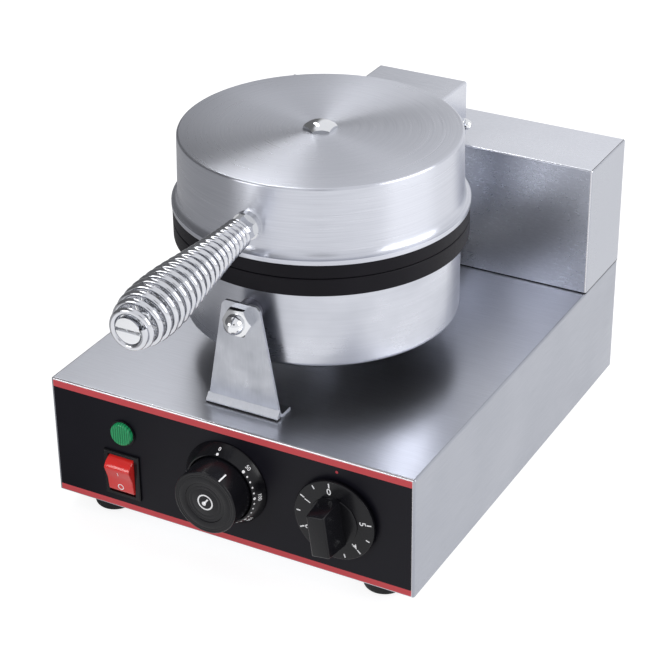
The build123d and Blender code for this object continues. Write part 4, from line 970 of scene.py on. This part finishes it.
def knobSide(point):
    shape = knobShape
    depth = shape["length"] - knobMarks["lineInset"] - (knobMarks["lineLength"] / 2 - point.y)
    share = (depth - shape["start"]) / (shape["length"] - shape["start"])
    radius = shape["base"] + (shape["top"] - shape["base"]) * share + point.z
    return dialPoint(thermostatCenter, knobMarks["lineAngle"] + math.degrees(point.x / radius), radius, depth)


def makeKnobMarks():
    marks = knobMarks
    sunk = knobShape["length"] - knobShape["dishDepth"]
    bm = bmesh.new()
    addMark(bm, bar(marks["lineWidth"], marks["lineLength"]), knobSide, marks["lineDepth"])
    for outlines, shiftUp, lean in (
            (ring(marks["ringRadius"], marks["ringWidth"]), 0.0, 0.0),
            (dot(marks["bulb"], 24), -marks["bulbDown"], marks["lean"]),
            (bar(marks["stemWidth"], marks["stemLength"]), marks["stemUp"], marks["lean"])):
        addMark(bm, outlines, flatPlace(thermostatCenter, sunk, shiftUp, lean))
    finishPiece(bm, "thermostat_pointer", "thermostat_dial", "markPaint", 30.0)


# The timer's dial: a disc, a low hub and a bar grip that tapers to the front
timerShape = {"discDepth": 4.6, "discRadius": 27.4, "discEdge": 0.8, "discSegments": 160,
              "hubRadius": 16.2, "hubRise": 0.9, "hubEdge": 0.5, "hubSegments": 96, "gripDepth": 25.0,
              "gripEdge": 1.1, "frontHalf": (6.1, 14.2), "rootHalf": (6.9, 16.0), "turned": 7.5}
timerScale = {"last": 5, "step": 54.3, "zero": -7.5, "numberLean": 1.5, "numberHeight": 4.3,
              "numberRadius": 19.9, "tickRadius": 24.4, "tickWidth": 0.85, "hourTick": 3.2,
              "halfTick": 2.6, "indexRadius": 1.0, "indexUp": 32.3}


def makeTimerKnob():
    shape = timerShape
    axis = panelAxis(timerCenter)
    start = (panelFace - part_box("timer_knob")[1].y) / mm
    face = shape["discDepth"]
    edge = shape["discEdge"]
    disc = [(0.0, start), (shape["discRadius"], start)]
    disc += arcPoints((shape["discRadius"] - edge, face - edge), edge, 0, 90, 6) + [(0.0, face)]
    soft = shape["hubEdge"]
    hubTop = face + shape["hubRise"]
    hub = [(0.0, face - soft), (shape["hubRadius"], face - soft)]
    hub += arcPoints((shape["hubRadius"] - soft, hubTop - soft), soft, 0, 90, 4) + [(0.0, hubTop)]
    bm = bmesh.new()
    addLathe(bm, disc, axis, shape["discSegments"])
    addLathe(bm, hub, axis, shape["hubSegments"])
    placement = axis @ Matrix.Rotation(math.radians(shape["turned"]), 4, "Z")
    root, front = [addRing(bm, placement, [(x * width, y * length, depth) for x, y in squareCorners])
                   for (width, length), depth in ((shape["rootHalf"], face),
                                                  (shape["frontHalf"], shape["gripDepth"]))]
    faces = [bm.faces.new(root), bm.faces.new(front)] + joinRings(bm, [root, front])
    roundEdges(bm, faces, shape["gripEdge"] * mm, 4, 0.5)
    finishPiece(bm, "timer_handle", "timer_dial", "blackPlastic", 32.0, ["timer_knob"])


def makeTimerMarks():
    scale = timerScale
    width = scale["tickWidth"]
    depth = timerShape["discDepth"]
    ticks = scale["tickRadius"]
    bm = bmesh.new()
    for hour in range(scale["last"] + 1):
        angle = scale["zero"] - hour * scale["step"]
        numberAngle = angle - scale["numberLean"]
        addNumber(bm, hour, scale["numberHeight"],
                  flatPlace(timerCenter, depth, scale["numberRadius"], numberAngle))
        addMark(bm, bar(width, scale["hourTick"]), flatPlace(timerCenter, depth, ticks, angle))
        if hour < scale["last"]:
            halfAngle = angle - scale["step"] / 2
            addMark(bm, bar(width, scale["halfTick"]), flatPlace(timerCenter, depth, ticks, halfAngle))
    finishPiece(bm, "timer_marks", "timer_dial", "markPaint", 30.0)
    bm = bmesh.new()
    addMark(bm, dot(scale["indexRadius"], 20), flatPlace(timerCenter, 0.0, scale["indexUp"], 0.0))
    finishPiece(bm, "timer_index", "base", "redPaint", 30.0)


makeCone()
makeConeMarks()
makeKnob()
makeKnobMarks()
makeTimerKnob()
makeTimerMarks()
print("dials made")


def makeLens():
    # domed disc with upright ribs inside its smooth edge
    shape = lensShape
    center = centerOf("indicator_lens")
    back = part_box("indicator_lens")[1].y
    placement = axisFrame((center.x, back, center.z), (0, -1, 0))
    outlines = []
    for index in range(shape["rings"] + 1):
        radius = shape["radius"] * index / shape["rings"]
        over = max(radius - (shape["radius"] - shape["edge"]), 0.0) / shape["edge"]
        level = shape["height"] - shape["edge"] * (1 - math.sqrt(max(1 - over * over, 0.0)))
        fade = min(max((shape["ribReach"] - radius) / shape["ribFade"], 0.0), 1.0)
        outline = []
        for x, y, _ in circle(radius, 0.0, shape["segments"] if index else 1):
            groove = 1 - abs(math.sin(math.pi * x / shape["ribPitch"]))
            outline.append((x, y, level - shape["ribDepth"] * fade * groove))
        outlines.append(outline)
    outlines.append(circle(shape["radius"], 0.0, shape["segments"]))
    bm = bmesh.new()
    rings = [addRing(bm, placement, outline) for outline in outlines]
    joinRings(bm, rings)
    bm.faces.new(rings[-1])
    finishPiece(bm, "indicator_window", "base", "greenLensShadeAndGlow", 50.0, ["indicator_lens"])


# The rocker's outline: facets are shares of half its height, and noses are (back, up) from its end
rockerShape = {"radius": 13.7, "half": 10.0, "valley": 1.2, "tilt": 14.0, "width": 19.0, "pivotDepth": 3.5,
               "facets": (0.0, 0.35, 0.7), "crest": 1.3, "crestDrop": 0.02,
               "noses": ((0.25, -0.35), (0.75, 0.3)), "endArc": (48, 104), "round": 0.7, "ringRadius": 1.95,
               "ringWidth": 0.6, "ringLevel": -5.9, "lineWidth": 0.45, "lineLength": 3.0, "lineLevel": 5.4,
               "markDepth": 0.06}


def rockerPoint(forward, upward, sideways):
    # forward and upward are measured from the rocker's axis, before the tilt
    tilt = math.radians(rockerShape["tilt"])
    pivot = Vector((centerOf("rocker").x, panelFace + rockerShape["pivotDepth"] * mm,
                    centerOf("switch_body").z))
    return pivot + Vector((sideways, -forward * math.cos(tilt) - upward * math.sin(tilt),
                           upward * math.cos(tilt) - forward * math.sin(tilt))) * mm


def makeRocker():
    shape = rockerShape
    radius = shape["radius"]
    half = shape["half"]
    valley = shape["valley"]
    crest = shape["crest"]
    rise = math.sqrt(radius * radius - half * half)
    outline = [(rise - valley * (1 - share), half * share) for share in shape["facets"]]
    outline.append((rise - valley * crest / half - shape["crestDrop"], half - crest))
    outline += [(rise - back, half + up) for back, up in shape["noses"]]
    outline += arcPoints((0.0, 0.0), radius, *shape["endArc"], 6)[1:]
    outline += [(forward, -upward) for forward, upward in reversed(outline[1:])]
    bm = bmesh.new()
    # this is built in millimetres, and rockerPoint then tilts it into place
    faces = addPrism(bm, outline, -shape["width"] / 2, shape["width"] / 2, Matrix.Scale(1 / mm, 4))
    roundEdges(bm, faces, shape["round"], 3, 0.6)
    for vertex in bm.verts:
        vertex.co = rockerPoint(*vertex.co)
    finishPiece(bm, "rocker_button", "power_rocker", "redPlastic", 32.0, ["rocker"])

    def facet(level):
        def place(point):
            upward = level + point.y
            return rockerPoint(rise - valley * (1 - abs(upward) / half) + point.z, upward, point.x)
        return place
    bm = bmesh.new()
    depth = shape["markDepth"]
    addMark(bm, ring(shape["ringRadius"], shape["ringWidth"], 24), facet(shape["ringLevel"]), depth)
    addMark(bm, bar(shape["lineWidth"], shape["lineLength"]), facet(shape["lineLevel"]), depth)
    finishPiece(bm, "rocker_marks", "power_rocker", "markPaint", 30.0)


makeLens()
makeRocker()
print("lens and rocker made")

cameraPlace = {"place": (0.57345, -1.02599, 0.76102), "azimuth": 29.0006, "elevation": 29.0106,
               "roll": -0.7439, "lens": 113.8, "sensor": 36.0}


def makeCamera():
    turn = math.radians(cameraPlace["azimuth"])
    rise = math.radians(cameraPlace["elevation"])
    backward = Vector((math.sin(turn) * math.cos(rise), -math.cos(turn) * math.cos(rise), math.sin(rise)))
    right = Vector(alongZ).cross(backward).normalized()
    upright = Matrix((right, backward.cross(right), backward)).transposed().to_4x4()
    roll = Matrix.Rotation(math.radians(cameraPlace["roll"]), 4, "Z")
    data = bpy.data.cameras.new("camera")
    data.lens = cameraPlace["lens"]
    data.sensor_width = cameraPlace["sensor"]
    data.clip_end = 100.0
    camera = bpy.data.objects.new("camera", data)
    bpy.context.scene.collection.objects.link(camera)
    camera.matrix_world = Matrix.Translation(Vector(cameraPlace["place"])) @ upright @ roll
    bpy.context.scene.camera = camera


lampTarget = Vector((0, 0, 0.15))
lamps = {
    "strip": {"place": (-0.93, 0.90, 1.95), "size": (0.26, 1.1), "power": 6.5},
    "front": {"place": (-0.95, -1.75, 0.75), "size": (0.7, 0.7), "power": 7.0},
    "right": {"place": (1.75, 0.35, 1.0), "size": (1.5, 1.1), "power": 20.0},
}


def makeLamps():
    for name, lamp in lamps.items():
        data = bpy.data.lights.new(name, "AREA")
        data.shape = "RECTANGLE"
        data.size, data.size_y = lamp["size"]
        data.energy = lamp["power"]
        piece = bpy.data.objects.new(name, data)
        bpy.context.scene.collection.objects.link(piece)
        piece.location = lamp["place"]
        piece.rotation_euler = (lampTarget - Vector(lamp["place"])).to_track_quat("-Z", "Y").to_euler()


# The room is white, with a dark card far to the left and two round ones. The left card starts and ends
# at a direction's leftward part, and the round ones fade between angles from the way toward them.
studio = {"roomTone": (0.975, 0.98, 1.0), "soft": 0.55, "floorTone": (0.36, 0.36, 0.365), "floorGlow": 0.84,
          "floorHalf": 12.0, "floorLevel": -0.0003, "floorRoughness": 0.9, "eyeLevel": 0.16}
leftCard = {"start": 0.33, "end": 0.54, "level": 0.17}
cards = [
    {"toward": (0.42, -0.77, 0.49), "inner": 4.0, "outer": 14.0, "level": 0.15},
    {"toward": (-0.47, -0.42, 0.78), "inner": 8.0, "outer": 30.0, "level": 0.22},
]


def roomLevel(tree, direction):
    # how light the room is in a direction
    leftward = mathNode(tree, "MULTIPLY", splitNode(tree, direction)[0], -1.0)
    level = rangeNode(tree, leftward, leftCard["start"], leftCard["end"], 1.0, leftCard["level"],
                      "SMOOTHSTEP")
    for card in cards:
        toward = tuple(Vector(card["toward"]).normalized())
        near = addNode(tree, "ShaderNodeVectorMath", {0: direction, 1: toward}, operation="DOT_PRODUCT")
        outer, inner = [math.cos(math.radians(card[side])) for side in ("outer", "inner")]
        mask = rangeNode(tree, near.outputs["Value"], outer, inner, 0.0, 1.0, "SMOOTHSTEP")
        drop = mathNode(tree, "MULTIPLY", mathNode(tree, "SUBTRACT", level, card["level"]), mask)
        level = mathNode(tree, "SUBTRACT", level, drop)
    return level


def backdropStrength(tree, level, soft, seen):
    # the camera sees the plain backdrop, reflections see the room, and all other rays the soft light
    path = addNode(tree, "ShaderNodeLightPath", {}).outputs
    mirrored = mathNode(tree, "MAXIMUM", path["Is Glossy Ray"], path["Is Transmission Ray"])
    reflected = mathNode(tree, "MULTIPLY", mirrored, mathNode(tree, "MULTIPLY", level, seen))
    other = mathNode(tree, "MULTIPLY", mathNode(tree, "SUBTRACT", 1.0, mirrored), soft)
    hidden = mathNode(tree, "SUBTRACT", 1.0, path["Is Camera Ray"])
    rest = mathNode(tree, "MULTIPLY", mathNode(tree, "ADD", reflected, other), hidden)
    return mathNode(tree, "ADD", mathNode(tree, "MULTIPLY", path["Is Camera Ray"], seen), rest)


def makeRoom():
    world = bpy.data.worlds.new("studio")
    bpy.context.scene.world = world
    world.use_nodes = True
    tree = world.node_tree
    background = tree.nodes["Background"].inputs
    feed(tree, opaque(studio["roomTone"]), background["Color"])
    level = roomLevel(tree, addNode(tree, "ShaderNodeTexCoord", {}).outputs["Generated"])
    feed(tree, backdropStrength(tree, level, studio["soft"], 1.0), background["Strength"])


def makeFloor():
    half = studio["floorHalf"]
    corners = [(x * half, y * half, studio["floorLevel"]) for x, y in squareCorners]
    mesh = bpy.data.meshes.new("floor")
    mesh.from_pydata(corners, [], [(0, 1, 2, 3)])
    floor = bpy.data.objects.new("floor", mesh)
    bpy.context.scene.collection.objects.link(floor)
    material, tree, shader = newMaterial("floorPaper")
    feed(tree, opaque(studio["floorTone"]), shader["Base Color"])
    feed(tree, studio["floorRoughness"], shader["Roughness"])
    feed(tree, 0.0, shader["Specular IOR Level"])
    feed(tree, opaque((1.0, 1.0, 1.0)), shader["Emission Color"])
    lowered = vectorNode(tree, "SUBTRACT", objectPlace(tree), (0.0, 0.0, studio["eyeLevel"]))
    level = roomLevel(tree, vectorNode(tree, "NORMALIZE", lowered))
    feed(tree, backdropStrength(tree, level, 0.0, studio["floorGlow"]), shader["Emission Strength"])
    mesh.materials.append(material)


makeCamera()
makeLamps()
makeRoom()
makeFloor()
bpy.context.scene.view_settings.view_transform = "Standard"
print("camera, lamps and floor made")

bpy.context.view_layer.update()
